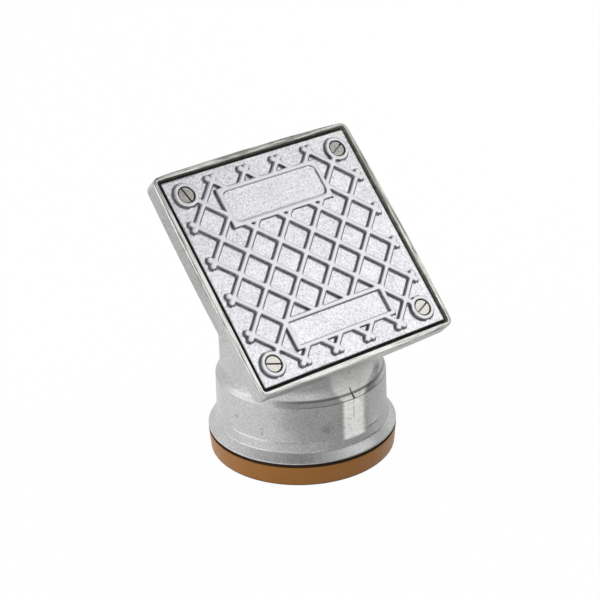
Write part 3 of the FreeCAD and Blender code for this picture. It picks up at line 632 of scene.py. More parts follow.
def blasted_aluminium(colours):
    """Aluminium cast in sand and shot-blasted: bright, finely pebbled, each dimple a small soft highlight."""
    finish, shader, add, place = new_finish("shot-blasted cast aluminium")
    # Shot leaves dimples of about 0.4 mm; they are drawn at 1.6 mm so that they show.
    dimples = add("TexNoise", {"Vector": place, "Scale": per_grain(1.6), "Detail": 2.0, "Roughness": 0.6})
    patches = add("TexNoise", {"Vector": place, "Scale": per_grain(22), "Detail": 2.0})
    cloud = add("MapRange", [patches, 0.3, 0.7, -0.05, 0.04])
    set_inputs(shader, {
        "Base Color": add("ValToRGB", [add("Math.ADD", [dimples, cloud])], stops=(
            (0.26, colours.oxide), (0.46, colours.cover), (0.70, colours.glint))),
        "Metallic": 1.0,
        "Roughness": 0.30,
        "Normal": add("Bump", {"Height": dimples, "Strength": 1.0, "Distance": 0.18 * MM})})
    return finish


def rubbed_aluminium(colours):
    """Aluminium on the raised parts of the cover, rubbed by handling: bright, satin, faintly clouded."""
    return clouded("rubbed cast aluminium", 2.2, (0.30, colours.rubbed), (0.70, colours.cover),
                   {"Metallic": 1.0, "Roughness": 0.30}, 0.12)


def painted_shade_metal(name, colours):
    """Metal painted dark grey and dull as shade: on steep sides, in slots and in the crack."""
    return clouded(name, 3, (0.35, colours.flank), (0.70, colours.flank_half_shade),
                   {"Metallic": 1.0, "Roughness": 0.5})


def recess_shade_aluminium(colours):
    """Aluminium in the recess under the cover, painted dull grey as the shade in the gap: nowhere bright."""
    return clouded("grimed cast aluminium", 4, (0.35, colours.recess_deep_shade), (0.65, colours.recess_shade),
                   {"Roughness": 0.8})


def black_rubber(colours):
    """Moulded EPDM rubber: near black and dull, with a grey bloom in patches."""
    return clouded("black EPDM rubber", 3, (0.40, colours.rubber), (0.70, colours.bloom),
                   {"Roughness": 0.65, "IOR": 1.52})


def cast_aluminium(colours):
    """Aluminium as it left the mould: even grey, finely grained, a few stains, ground bright at the seam
    under a painted highlight, with painted shade in the creases.
    """
    finish, shader, add, place = new_finish("as-cast aluminium")
    x, y, z = add("SeparateXYZ", [place]).node.outputs
    # The mould's sand has a grain of about 0.3 mm; it is drawn at 1.2 mm so that it shows.
    grain = add("TexNoise", {"Vector": place, "Scale": per_grain(1.2), "Detail": 2.0, "Roughness": 0.6})
    mottle = add("TexNoise", {"Vector": place, "Scale": per_grain(18), "Detail": 3.0})
    cloud = add("MapRange", [mottle, 0.3, 0.7, -0.06, 0.06])
    skin = add("ValToRGB", [add("Math.ADD", [grain, cloud])], stops=(
        (0.28, colours.dusty), (0.72, colours.casting)))
    stains = add("TexNoise", {"Vector": place, "Scale": per_grain(9), "Detail": 4.0, "Roughness": 0.7})
    stains_and_shade = add("MapRange", [stains, 0.67, 0.77, 0.0, 0.7])
    ragged = add("TexNoise", {"Vector": place, "Scale": per_grain(2), "Detail": 3.0, "Roughness": 0.7})
    for centre, radii, turn, strength in MARKS:
        near = add("Mapping", {
            "Vector": place, "Location": [c * MM for c in centre], "Rotation": (turn, 0, 0),
            "Scale": [r * MM for r in radii]}, vector_type="TEXTURE")
        uneven = add("Math.MULTIPLY_ADD", [ragged, 2.5, add("VectorMath.LENGTH", [near], "Value")])
        stains_and_shade = add("Math.MAXIMUM", [stains_and_shade, add("MapRange", [uneven, 1.5, 2.5, strength, 0.0])])
    # The creases above and below the shoulder are painted darker as shade, more towards the right, away from
    # the lit left.
    shaded_side = add("MapRange", [x, -52 * MM, -36 * MM])
    for crease, half in CREASES:
        far = add("Math.ABSOLUTE", [add("Math.SUBTRACT", [z, crease * MM])])
        line = add("MapRange", [far, half / 2 * MM, half * MM, 0.9, 0.0])
        stains_and_shade = add("Math.MAXIMUM", [stains_and_shade, add("Math.MULTIPLY", [line, shaded_side])])
    # The belt that ground off the seam left a pale band down the socket, which fans out to the right up the
    # neck; the band is partly ground metal and partly a painted highlight. It ends at its left and right
    # edge, its foot, its top and the wall of the bore.
    level = add("Mapping", {"Vector": place, "Scale": (1, 1, 0)})
    radius = add("VectorMath.LENGTH", [level], "Value")
    climb = add("MapRange", [z, 58 * MM, 70 * MM, 0.0, 15 * MM])
    wander = add("MapRange", [ragged, 0.0, 1.0, -1.5 * MM, 1.5 * MM])
    aside = add("Math.ADD", [x, wander])
    swept = add("Math.SUBTRACT", [aside, climb])
    leaned = add("Math.MULTIPLY_ADD", [climb, 0.4, aside])
    band = add("MapRange", [y, 0.0, -1 * MM])
    for edge, start, end in ((leaned, -11.0, -8.2), (swept, 10.6, 6.4), (z, 28.4, 29.8), (z, 86.0, 58.0),
                             (radius, 56.4, 56.8)):
        band = add("Math.MULTIPLY", [band, add("MapRange", [edge, start * MM, end * MM])])
    # The belt's marks are about 0.4 mm wide and 10 mm long; they are drawn 0.9 mm wide so that they show.
    drawn_out = add("Mapping", {
        "Vector": place, "Rotation": (0, math.radians(25), 0),
        "Scale": (per_grain(4), per_grain(4), per_grain(0.9))})
    belt_marks = add("TexNoise", {"Vector": drawn_out, "Scale": 1.0, "Detail": 4.0, "Roughness": 0.7})
    chalk = add("ValToRGB", [belt_marks], stops=((0.20, colours.belt), (0.52, colours.bare)))
    band = add("Math.MULTIPLY", [band, add("MapRange", [belt_marks, 0.34, 0.54, 0.62, 1.0])])
    ground_and_highlight = add("Mix", {"Factor": band, 6: skin, 7: chalk}, 2, data_type="RGBA")
    set_inputs(shader, {
        "Base Color": add("Mix", {"Factor": stains_and_shade, 6: ground_and_highlight, 7: colours.stain_and_shade}, 2, data_type="RGBA"),
        "Metallic": add("MapRange", [band, 0.0, 1.0, 1.0, 0.15]),
        "Roughness": add("MapRange", [band, 0.0, 1.0, 0.36, 0.5]),
        "Normal": add("Bump", {"Height": grain, "Strength": 1.0, "Distance": 0.05 * MM})})
    return finish


def linished_aluminium(colours):
    """Aluminium run over a grinding belt: painted greyer as shade towards the upper and right side, with long
    bright scratches along each side.
    """
    finish, shader, add, place = new_finish("linished aluminium")
    x, _, z = add("SeparateXYZ", [place]).node.outputs
    on_face = add("Mapping", {"Vector": place, "Rotation": (-TILT, 0, 0)})
    # A scratch is about 0.3 mm wide and 20 mm long; it is drawn 0.9 mm wide so that it shows.
    across, along = per_grain(0.9), per_grain(20)
    runs = []
    for stretch in ((along, across, across), (across, along, across)):
        drawn_out = add("Mapping", {"Vector": on_face, "Scale": stretch})
        runs.append(add("TexNoise", {"Vector": drawn_out, "Scale": 1.0, "Detail": 3.0, "Roughness": 0.6}))
    at_sides = add("Math.GREATER_THAN", [add("Math.ABSOLUTE", [x]), COVER_HALF + 2 * MM])
    scratches = add("Mix", {"Factor": at_sides, 2: runs[0], 3: runs[1]})
    # The upper and the right side are painted greyest, as shade.
    height_and_side = add("Math.MULTIPLY_ADD", [x, 0.6, z])
    painted_shade_up = add("MapRange", [height_and_side, 100 * MM, 205 * MM, 0.07, -0.08])
    set_inputs(shader, {
        "Base Color": add("ValToRGB", [add("Math.ADD", [scratches, painted_shade_up])], stops=(
            (0.36, colours.scratch_dirt_and_shade), (0.50, colours.belt), (0.62, colours.ground))),
        "Metallic": 1.0,
        "Roughness": 0.36,
        "Normal": add("Bump", {"Height": scratches, "Strength": 0.8, "Distance": 0.2 * MM})})
    return finish


def plated_steel(colours):
    """Turned steel with a thin warm plating: satin, faintly clouded, painted darker grey as shade on the
    upper screws.
    """
    finish, shader, add, place = new_finish("plated turned steel")
    cloud = add("TexNoise", {"Vector": place, "Scale": per_grain(1.5), "Detail": 2.0})
    # The upper screws are painted darkest, as shade.
    high = add("MapRange", [add("SeparateXYZ", [place], "Z"), 130 * MM, 185 * MM, 0.0, 0.36])
    set_inputs(shader, {
        "Base Color": add("ValToRGB", [add("Math.MULTIPLY_ADD", [cloud, 0.5, high])], stops=(
            (0.25, colours.screw), (0.80, colours.tarnish_and_shade))),
        "Metallic": 1.0,
        "Roughness": add("MapRange", [cloud, 0.0, 1.0, 0.2, 0.36]),
        "Normal": add("Bump", {"Height": cloud, "Strength": 0.5, "Distance": 0.15 * MM})})
    return finish


def terracotta_plastic(colours):
    """Moulded unplasticised PVC in drain terracotta: even colour, a soft sheen and a faint moulded grain,
    with painted shade along the foot and on the lip.
    """
    finish, shader, add, place = new_finish("terracotta moulded uPVC")
    z = add("SeparateXYZ", [place], "Z")
    # The foot is painted dark as its contact shadow, and the top of the lip as the shade under the flange.
    above_foot = add("MapRange", [z, 0.9 * MM, 1.7 * MM])
    below_lip = add("MapRange", [z, 15.2 * MM, 15.0 * MM])
    unshaded = add("Math.MULTIPLY", [above_foot, below_lip])
    grain = add("TexNoise", {"Vector": place, "Scale": per_grain(2.5), "Detail": 2.0})
    set_inputs(shader, {
        "Base Color": add("Mix", {"Factor": unshaded, 6: colours.cap_shade, 7: colours.cap}, 2, data_type="RGBA"),
        "Roughness": 0.42,
        "IOR": 1.53,
        "Specular IOR Level": 0.3,
        "Normal": add("Bump", {"Height": grain, "Strength": 0.15, "Distance": 0.1 * MM})})
    return finish


# The casting

def square_loop(half, radius, bow=0.0):
    """Draws a square with round corners and bowed sides, the same number of points whatever its size."""
    straight = half - radius
    even = {round(2 * step / SIDE_STEPS - 1, 4) for step in range(SIDE_STEPS + 1)}
    places = sorted(even | SEAM_PLACES | {-place for place in SEAM_PLACES})
    quarter = [Vector((half + bow * (1 - place * place), place * straight)) for place in places]
    for step in range(1, CORNER_STEPS):
        angle = math.pi / 2 * step / CORNER_STEPS
        quarter.append(Vector((straight + radius * math.cos(angle), straight + radius * math.sin(angle))))
    return [Matrix.Rotation(turn * math.pi / 2, 2) @ point for turn in range(4) for point in quarter]


def opening_point(sizes, way, inset):
    """Gives the point of the ledge's opening, less an inset, that lies this way from the socket axis."""
    radius = sizes.opening - inset
    stretch = sizes.opening_stretch
    if way.x and abs(way.y / way.x) * radius <= stretch:
        return math.copysign(radius, way.x), way.y / abs(way.x) * radius + sizes.axis_shift
    along = way.y * math.copysign(stretch, way.y)
    far = along + math.sqrt(along * along - stretch * stretch + radius * radius)
    return way.x * far, way.y * far + sizes.axis_shift


def casting_rings(sizes, cover):
    """Gives the casting's rings, from the rim over the outside, in through the socket and back to the rim."""
    centre = face_centre(cover)
    recess = COVER_HALF + cover.gap
    half = recess + sizes.rim_width
    guide = square_loop(half, sizes.corner_radius, sizes.side_bow)
    turns = [math.atan2((v - sizes.axis_shift) * math.cos(TILT), u) for u, v in guide]
    foot = on_slope(centre, 0, sizes.axis_shift, -sizes.frame_depth)
    rings = []
    finishes = []

    def add(ring, finish=SKIN):
        rings.append(ring)
        finishes.append(finish)

    def add_on_slope(loop, depth, finish=SKIN):
        add([on_slope(centre, u, v, -depth) for u, v in loop], finish)

    def add_frame(inset, depth, finish=SKIN):
        add_on_slope(square_loop(half - inset, sizes.corner_radius - inset, sizes.side_bow), depth, finish)

    def add_recess(inset, depth, finish=SKIN):
        add_on_slope(square_loop(recess - inset, sizes.recess_radius), depth, finish)

    def add_between(first, last, shares):
        for share in shares:
            add([start.lerp(end, share) for start, end in zip(first, last)])

    def slanted(radius):
        return [polar(radius, a, foot.z + radius * math.sin(a) * math.tan(TILT)) for a in turns]

    # The rim, ground flat, its worn outer edge, the wall and its round foot.
    rim = sizes.rim_depth
    wall_top = rim + sizes.rim_round
    wall_foot = sizes.frame_depth - sizes.foot_radius
    quarter = [math.pi / 2 * step / BEND_STEPS for step in range(BEND_STEPS + 1)]
    for step, angle in enumerate(quarter):
        add_frame(sizes.rim_round * (1 - math.sin(angle)), rim + sizes.rim_round * (1 - math.cos(angle)),
                  GROUND if step < BEND_STEPS - 1 else SKIN)
    for step in range(1, WALL_STEPS + 1):
        add_frame(0, wall_top + (wall_foot - wall_top) * step / WALL_STEPS)
    for angle in quarter[1:]:
        add_frame(sizes.foot_radius * (1 - math.cos(angle)), wall_foot + sizes.foot_radius * math.sin(angle))

    # The frame's underside runs into the neck with a fillet that is widest at the sides.
    underside = rings[-1]
    fillet = []
    for corner, angle, edge in zip(slanted(sizes.neck), turns, underside):
        size = sizes.fillet_least + sizes.fillet_growth * math.cos(angle) ** 2
        way = edge - corner
        start = corner + way.normalized() * min(size, FILLET_SHARE * way.length)
        fillet.append(bend(start, corner, corner - Vector((0, 0, size))))
    add_between(underside, [points[0] for points in fillet], [0.5])
    for ring in zip(*fillet):
        add(list(ring))

    # The neck, the shoulder, the socket and its collar, flange and mouth, the seal chamber and the pipe stop.
    neck_foot = (sizes.neck, sizes.neck_level + NECK_REACH)
    shares = [step / NECK_STEPS for step in range(1, NECK_STEPS)]
    add_between(rings[-1], turned([neck_foot], turns)[0], shares)
    flange = CAST_HIGH.y
    section = rounded_section([
        (*neck_foot, 0),
        (sizes.neck, sizes.neck_level, 2.6 * MM),
        (sizes.kink, sizes.kink_level, 0.3 * MM),
        (sizes.socket, sizes.shoulder_level, 0.3 * MM),
        (sizes.socket_foot, sizes.socket_level + 0.6 * MM, 0.3 * MM),
        (sizes.socket_foot + sizes.mould_line, sizes.socket_level, 0.25 * MM),
        (sizes.collar, sizes.collar_level, 0.8 * MM),
        (flange, sizes.flange_level + sizes.flange_edge, 0.35 * MM),
        (flange, sizes.flange_level, 0.25 * MM),
        (sizes.mouth, sizes.flange_level, 0),
        *bead_section(sizes.mouth, sizes.bead),
        (sizes.mouth, CAST_LOW.z, 0.4 * MM),
        (sizes.chamber, CAST_LOW.z, 0.4 * MM),
        (sizes.chamber, sizes.chamber_level, 0),
        (sizes.bore, sizes.chamber_level, 0.5 * MM),
        (sizes.bore, sizes.stop_level, 0),
        (sizes.throat, sizes.stop_level, 0.6 * MM),
        (sizes.throat, sizes.stop_level + 3 * MM, 0),
    ])
    for ring in turned(spread(section, WALL_STEP), turns):
        add(ring)

    # The throat, the ledge's opening, the ledge and the recess for the cover.
    add_between(rings[-1], slanted(sizes.throat), THROAT_SHARES)
    ways = [Vector((u, v - sizes.axis_shift)).normalized() for u, v in guide]
    for inset, rise in OPENING_EDGE:
        loop = [opening_point(sizes, way, inset * MM) for way in ways]
        add_on_slope(loop, sizes.frame_depth - rise * MM)
    # The recess walls below the cover are painted grey as shade.
    add_recess(0.5 * MM, sizes.ledge_depth, SHADED_RECESS)
    add_recess(0, sizes.ledge_depth - 0.5 * MM, SHADED_RECESS)
    add_recess(0, rim + 0.5 * MM)
    add_recess(-0.15 * MM, rim + 0.15 * MM, GROUND)
    add_recess(-0.5 * MM, rim, GROUND)
    return rings, finishes


def sand_waves(point, depth):
    """Gives how far a point of the casting's skin lies below its mould's true face."""
    even, slow, quick = WAVE_SHARES
    slow *= noise.noise(point / SLOW_WAVE)
    quick *= noise.noise(point / QUICK_WAVE + WAVE_SHIFT)
    return depth * (even + slow + quick)


class RODDING_OT_casting(bpy.types.Operator):
    """Casts the socket, the neck and the frame in one piece."""
    bl_idname = "rodding.casting"
    bl_label = "Casting"

    def execute(self, context):
        eye = context.scene.rodding_eye
        sizes = eye.casting
        skin = cast_aluminium(eye.finishes)
        finishes = [skin, linished_aluminium(eye.finishes), recess_shade_aluminium(eye.finishes)]
        points, faces, indices = skin_rings(*casting_rings(sizes, eye.cover), closed=True)
        casting = make_object("casting", points, faces, finishes, indices)
        casting.data.update()
        normals = [vertex.normal.copy() for vertex in casting.data.vertices]
        for vertex, normal in zip(casting.data.vertices, normals):
            vertex.co -= normal * sand_waves(vertex.co, sizes.waviness)

        under = -sizes.frame_depth
        foot = under - sizes.thread_boss_length
        for name, radius, top, bottom, bevel, operation in (
                ("thread bosses", sizes.thread_boss, under + MM, foot, 0.8 * MM, "UNION"),
                ("thread holes", sizes.thread_hole, under + 8 * MM, foot - MM, 0.1 * MM, "DIFFERENCE")):
            section = ((radius, top), (radius, bottom + bevel), (radius - bevel, bottom))
            rings = turned(section, full_turn(CIRCLE_STEPS))
            pegs = round_pegs(name, face_centre(eye.cover), screw_spots(eye.cover).values(), rings, skin)
            cut_or_join(casting, pegs, operation)

        low, high = CRACK
        mouth = []
        bottom = []
        for (height, middle, half, floor), side in ((low, -1), (low, 1), (high, 1), (high, -1)):
            mouth.append(Vector((middle + side * half, CRACK_MOUTH, height)) * MM)
            bottom.append(Vector((middle + side * half, floor, height)) * MM)
        # The crack's walls are painted dark as shade.
        painted_shadow = painted_shade_metal("sooted cast aluminium", eye.finishes)
        cut_or_join(casting, make_object("crack", *capped([mouth, bottom]), [painted_shadow]), "DIFFERENCE")
        smooth(casting)
        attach(casting, "body")
        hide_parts("cast_body")
        return {"FINISHED"}


# The cover

def to_segment(u, v, start, end):
    """Gives the distance of every grid point from a line between two points."""
    run = np.subtract(end, start)
    share = np.clip(((u - start[0]) * run[0] + (v - start[1]) * run[1]) / (run @ run), 0, 1)
    return np.hypot(u - start[0] - share * run[0], v - start[1] - share * run[1])


def to_block(u, v, centre, size, radius):
    """Gives the distance of every grid point from a block with round corners, negative inside it."""
    across = np.abs(u) - size[0] / 2 + radius
    along = np.abs(v - centre) - size[1] / 2 + radius
    outside = np.hypot(np.maximum(across, 0), np.maximum(along, 0))
    return outside + np.minimum(np.maximum(across, along), 0) - radius


def blend_near(first, second, fillet):
    """Joins two distance fields, with a fillet where they meet."""
    near = np.maximum(fillet - np.abs(first - second), 0) / fillet
    return np.minimum(first, second) - near * near * fillet / 4


def rib_lines(cover):
    """Gives the middle line of each rib, and whether it ends in knobs rather than at screw bosses."""
    pitch = 2 * (COVER_HALF - cover.lattice_margin) / (RIBS_EACH_SIDE + 1)
    lines = []
    for side in (1, -1):
        for step in range(-RIBS_EACH_SIDE, RIBS_EACH_SIDE + 1):
            half = (RIBS_EACH_SIDE + 1 - abs(step)) * pitch / 2 + cover.rib_tail / math.sqrt(2)
            if step == 0:
                half = COVER_HALF - cover.screw_inset
            middle = step * pitch / 2
            start = (side * (middle - half), -middle - half)
            end = (side * (middle + half), -middle + half)
            lines.append((start, end, step != 0))
    return lines


def raised_field(cover, u, v):
    """Gives the distance of every grid point from what stands up from the plate: ribs, panels and bosses."""
    field = np.full_like(u, 1.0)
    for start, end, knobs in rib_lines(cover):
        field = blend_near(field, to_segment(u, v, start, end) - cover.rib_width / 2, RIB_FILLET)
        for tip in (start, end) if knobs else ():
            field = blend_near(field, np.hypot(u - tip[0], v - tip[1]) - cover.knob, KNOB_FILLET)
    for centre, height in ((cover.upper_centre, cover.upper_height),
                           (-cover.lower_centre, cover.lower_height)):
        panel = to_block(u, v, centre, (cover.panel_width, height), PANEL_CORNER)
        field = blend_near(field, panel, PANEL_FILLET)
    for across, along in screw_spots(cover).values():
        field = blend_near(field, np.hypot(u - across, v - along) - cover.boss, RIB_FILLET)
    window = (cover.panel_width - 2 * cover.panel_border, cover.lower_height - 2 * cover.panel_border)
    return np.maximum(field, -to_block(u, v, -cover.lower_centre, window, WINDOW_CORNER))


def contour(field, u, v, level):
    """Follows the line on which a field has one value: its points, and the pairs of them that it joins."""
    gap = field - level
    points = []
    numbers = {}

    def crossing(first, second):
        key = (first, second)
        if key not in numbers:
            share = gap[first] / (gap[first] - gap[second])
            numbers[key] = len(points)
            points.append(Vector((u[first] + share * (u[second] - u[first]),
                                  v[first] + share * (v[second] - v[first]))))
        return numbers[key]

    inside = gap < 0
    mixed = inside[:-1, :-1].astype(int) + inside[1:, :-1] + inside[:-1, 1:] + inside[1:, 1:]
    joins = []
    for row, column in np.argwhere((mixed > 0) & (mixed < 4)):
        low, high = (row, column), (row + 1, column + 1)
        right, up = (row, column + 1), (row + 1, column)
        sides = ((low, right), (right, high), (up, high), (low, up))
        found = [crossing(a, b) for a, b in sides if inside[a] != inside[b]]
        joins += list(zip(found[0::2], found[1::2]))
    return points, joins


def panel_loop(cover, grow):
    """Draws the outline of the upper panel's field, grown by a distance."""
    reach = grow - cover.panel_border
    radius = cover.upper_radius + grow
    across, along = cover.panel_width / 2 + reach - radius, cover.upper_height / 2 + reach - radius
    loop = []
    for turn, (side, rise) in enumerate(((1, 1), (-1, 1), (-1, -1), (1, -1))):
        corner = Vector((side * across, cover.upper_centre + rise * along))
        for step in range(CORNER_STEPS + 1):
            angle = math.pi / 2 * (turn + step / CORNER_STEPS)
            loop.append(corner + radius * Vector((math.cos(angle), math.sin(angle))))
    return loop


def triangles_clear(net, spots, radius):
    """Gives a flat net's triangles, with their middles, that lie clear of the round holes at the spots."""
    clear = []
    for triangle in net[2]:
        middle = sum((net[0][corner] for corner in triangle), Vector((0, 0))) / 3
        if all((middle - Vector(spot)).length > radius for spot in spots):
            clear.append((triangle, middle))
    return clear


class RODDING_OT_cover(bpy.types.Operator):
    """Casts the square cover with its lattice of ribs, its two panels and its screw bosses."""
    bl_idname = "rodding.cover"
    bl_label = "Cover"

    def execute(self, context):
        eye = context.scene.rodding_eye
        cover = eye.cover
        centre = face_centre(cover)
        half = COVER_HALF
        plate = -cover.rib_height
        under = plate - cover.thickness
        spots = screw_spots(cover)
        flat = []
        heights = []
        joins = []

        def add_line(points, height, pairs):
            first = len(flat)
            flat.extend(points)
            heights.extend([height] * len(points))
            joins.extend((first + a, first + b) for a, b in pairs)
            return list(range(first, len(flat)))

        def add_loop(points, height):
            count = len(points)
            return add_line(points, height, [(place, (place + 1) % count) for place in range(count)])

        # The face: flanks of everything raised, the upper panel's step, the edge and the screws' recesses.
        axis = np.arange(-half - MM, half + MM, CONTOUR_GRID)
        u, v = np.meshgrid(axis, axis)
        field = raised_field(cover, u, v)
        for outward, height in FLANK:
            points, pairs = contour(field, u, v, outward * MM)
            add_line(points, height * MM, pairs)
        for grow, height in PANEL_STEP:
            add_loop(panel_loop(cover, grow * MM), height * MM)
        for inset in EDGE_LINES:
            edge = add_loop(square_loop(half - inset, FACE_CORNER), plate)
        seats = {}
        for place, spot in spots.items():
            for outward in RECESS_LINES:
                seats[place] = add_loop(ring_points(spot, cover.head_room + outward), 0.0)
        net = delaunay_2d_cdt(flat, joins, [], 0, WELD)
        points = [on_slope(centre, p.x, p.y, heights[old[0]]) for p, old in zip(net[0], net[3])]
        new_number = {old: new for new, olds in enumerate(net[3]) for old in olds}
        clear = triangles_clear(net, spots.values(), cover.head_room)
        faces = [tuple(triangle) for triangle, middle in clear]

        # A painted shadow lies only beside what faces sideways.
        u, v = np.array([tuple(middle) for triangle, middle in clear]).T
        away = raised_field(cover, u, v)
        lean = np.abs(raised_field(cover, u + SLOPE_STEP, v) - raised_field(cover, u - SLOPE_STEP, v))
        beside = (away > SHADOW_START) & (away < cover.painted_shadow) & (lean > SIDEWAYS * 2 * SLOPE_STEP)
        in_painted_shadow = set(np.flatnonzero(beside))

        def join_ring(ring, loop, height, outside=False):
            new = list(range(len(points), len(points) + len(loop)))
            points.extend(on_slope(centre, p.x, p.y, height) for p in loop)
            outer, inner = (new, ring) if outside else (ring, new)
            for place in range(len(loop)):
                following = (place + 1) % len(loop)
                faces.append((outer[place], outer[following], inner[following], inner[place]))
            return new

        # The plate's sides and underside, and through it the seats and holes of the screws.
        ring = [new_number[number] for number in edge]
        bevels = [(inset, plate - drop * MM) for inset, drop in PLATE_TOP]
        bevels += [(inset, under + rise * MM) for inset, rise in PLATE_FOOT]
        for inset, height in bevels:
            ring = join_ring(ring, square_loop(half - inset * MM, SIDE_CORNER), height, outside=True)
        floor_rings = [ring]
        for place, spot in spots.items():
            ring = [new_number[number] for number in seats[place]]
            room = [(cover.head_room + outward * MM, -drop * MM) for outward, drop in RECESS_RIM]
            room += [(cover.head_room, -cover.head_seat), (cover.shank_room, -cover.head_seat),
                     (cover.shank_room, under)]
            for radius, height in room:
                ring = join_ring(ring, ring_points(spot, radius), height)
            floor_rings.append(ring)
        flat = []
        joins = []
        numbers = []
        for ring in floor_rings:
            offsets = [points[number] - centre for number in ring]
            add_line([Vector((offset.dot(ACROSS), offset.dot(UP_SLOPE))) for offset in offsets], under,
                     [(place, (place + 1) % len(ring)) for place in range(len(ring))])
            numbers += ring
        net = delaunay_2d_cdt(flat, joins, [], 0, WELD)
        for triangle, middle in triangles_clear(net, spots.values(), cover.shank_room):
            faces.append(tuple(numbers[net[3][corner][0]] for corner in reversed(triangle)))

        def finish_of(number, face):
            corners = [points[corner] for corner in face]
            facing = (corners[1] - corners[0]).cross(corners[2] - corners[0]).normalized()
            if number in in_painted_shadow or abs(facing.dot(OUT)) < FLANK_STEEP:
                return PAINTED_SHADE
            raised = min((corner - centre).dot(OUT) for corner in corners) > -cover.upper_depth
            return RUBBED if raised else BLASTED

        finishes = [blasted_aluminium(eye.finishes), rubbed_aluminium(eye.finishes),
                    painted_shade_metal("sooted cover aluminium", eye.finishes)]
        indices = [finish_of(number, face) for number, face in enumerate(faces)]
        thing = make_object("cover", points, faces, finishes, indices)
        smooth(thing)
        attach(thing, "cover")
        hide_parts("cover_plate")
        return {"FINISHED"}


# Screws, cap and seals

def thread_radius(screws, angle, depth):
    """Gives the radius of the thread at a turn and a depth below the head."""
    phase = (depth / screws.thread_pitch - angle / (2 * math.pi)) % 1.0
    return screws.shank - screws.thread_depth * abs(2 * phase - 1)


class RODDING_OT_screws(bpy.types.Operator):
    """Turns the four slotted cheese head screws with their threads."""
    bl_idname = "rodding.screws"
    bl_label = "Screws"

    def execute(self, context):
        eye = context.scene.rodding_eye
        screws = eye.screws
        centre = face_centre(eye.cover)
        steel = plated_steel(eye.finishes)
        # The slots' walls are painted dark as shade.
        recess_shade = painted_shade_metal("grimy plated steel", eye.finishes)
        top = -screws.head_sink
        seat = top - screws.head_height
        turns = full_turn(SCREW_STEPS)
        rings = turned(rounded_section([
            (0.3 * MM, top, 0),
            (screws.head, top, 0.45 * MM),
            (screws.head, seat, 0.3 * MM),
            (screws.shank, seat, 0),
        ]), turns)
        rows = int(screws.shank_length / screws.thread_pitch * ROWS_PER_THREAD)
        for row in range(1, rows + 1):
            depth = (screws.shank_length - MM) * row / rows
            rings.append([polar(thread_radius(screws, angle, depth), angle, seat - depth) for angle in turns])
        rings += turned([(screws.shank - 2 * screws.thread_depth, seat - screws.shank_length)], turns)

        for place, spot in screw_spots(eye.cover).items():
            screw = round_pegs(f"screw_{place}", centre, [spot], rings, steel)
            turn = Matrix.Rotation(getattr(screws, place), 2)
            corners = [turn @ Vector((side * screws.head * SLOT_OVERRUN, rise * screws.slot_width / 2))
                       for side, rise in SQUARE]
            slot = [[on_slope(centre, spot[0] + p.x, spot[1] + p.y, height) for p in corners]
                    for height in (top + MM, top - screws.slot_depth)]
            cut_or_join(screw, make_object("slot cutter", *capped(slot), [recess_shade]), "DIFFERENCE")
            smooth(screw)
            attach(screw, f"screw_{place}")
            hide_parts(f"cover_screw_{place}")
        return {"FINISHED"}


class RODDING_OT_cap(bpy.types.Operator):
    """Moulds the snap cap that holds the ring seal in the socket's mouth."""
    bl_idname = "rodding.cap"
    bl_label = "Cap"

    def execute(self, context):
        eye = context.scene.rodding_eye
        cap = eye.cap
        casting = eye.casting
        outer = CAP_HIGH.x
        top = CAP_HIGH.z - cap.lip_drop
        inner = casting.mouth + cap.clearance
        section = rounded_section([
            (casting.bore, CAP_LOW.z, 0.4 * MM),
            (outer - cap.draft - cap.bevel, CAP_LOW.z, 0.3 * MM),
            (outer - cap.draft, CAP_LOW.z + cap.bevel, 0.4 * MM),
            (outer + cap.lip, top, 0.6 * MM),
            (inner, top, 0.4 * MM),
            *bead_section(inner, casting.bead, cap.clearance),
            (inner, CAP_LOW.z + cap.floor, 0),
            (casting.bore, CAP_LOW.z + cap.floor, 0.4 * MM),
        ])
        rings = turned(reversed(section), full_turn(TURNED_STEPS))
        points, faces = skin_rings(rings, closed=True)[:2]
        thing = make_object("seal_cap_moulding", points, faces, [terracotta_plastic(eye.finishes)])
        smooth(thing)
        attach(thing, "body")
        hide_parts("seal_cap")
        return {"FINISHED"}


class RODDING_OT_seals(bpy.types.Operator):
    """Gives the gasket and the ring seal their rubber."""
    bl_idname = "rodding.seals"
    bl_label = "Seals"

    def execute(self, context):
        rubber = black_rubber(context.scene.rodding_eye.finishes)
        for name in ("cover_gasket", "ring_seal"):
            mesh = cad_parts[name].data
            mesh.materials.clear()
            mesh.materials.append(rubber)
        return {"FINISHED"}


# The stage

def seen_rays(add):
    """Gives 1 for rays that the eye follows: straight, in a reflection or through glass."""
    path = add("LightPath").node.outputs
    both = add("Math.MAXIMUM", [path["Is Camera Ray"], path["Is Glossy Ray"]])
    return add("Math.MAXIMUM", [both, path["Is Transmission Ray"]])


def white_floor(colours):
    """Matt white studio floor: white to the eye and in mirrors, shaded a little by what stands on it."""
    finish, shader, add, _ = new_finish("matt white floor")
    set_inputs(shader, {"Base Color": colours.floor, "Roughness": 0.9})
    glow = add("Emission", {"Color": colours.floor, "Strength": 1.0})
    share = add("Math.MULTIPLY", [seen_rays(add), FLOOR_GLOW])
    both = add("MixShader", [share, shader.outputs["BSDF"], glow])
    set_inputs(finish.node_tree.nodes["Material Output"], {"Surface": both})
    return finish


def matt_card(name, hex_text, strength):
    """A matt card for bright metal to reflect: it glows evenly with its own grey, whatever light there is."""
    finish, _, add, _ = new_finish(name)
    glow = add("Emission", {"Color": linear(hex_text), "Strength": strength})
    set_inputs(finish.node_tree.nodes["Material Output"], {"Surface": glow})
    return finish


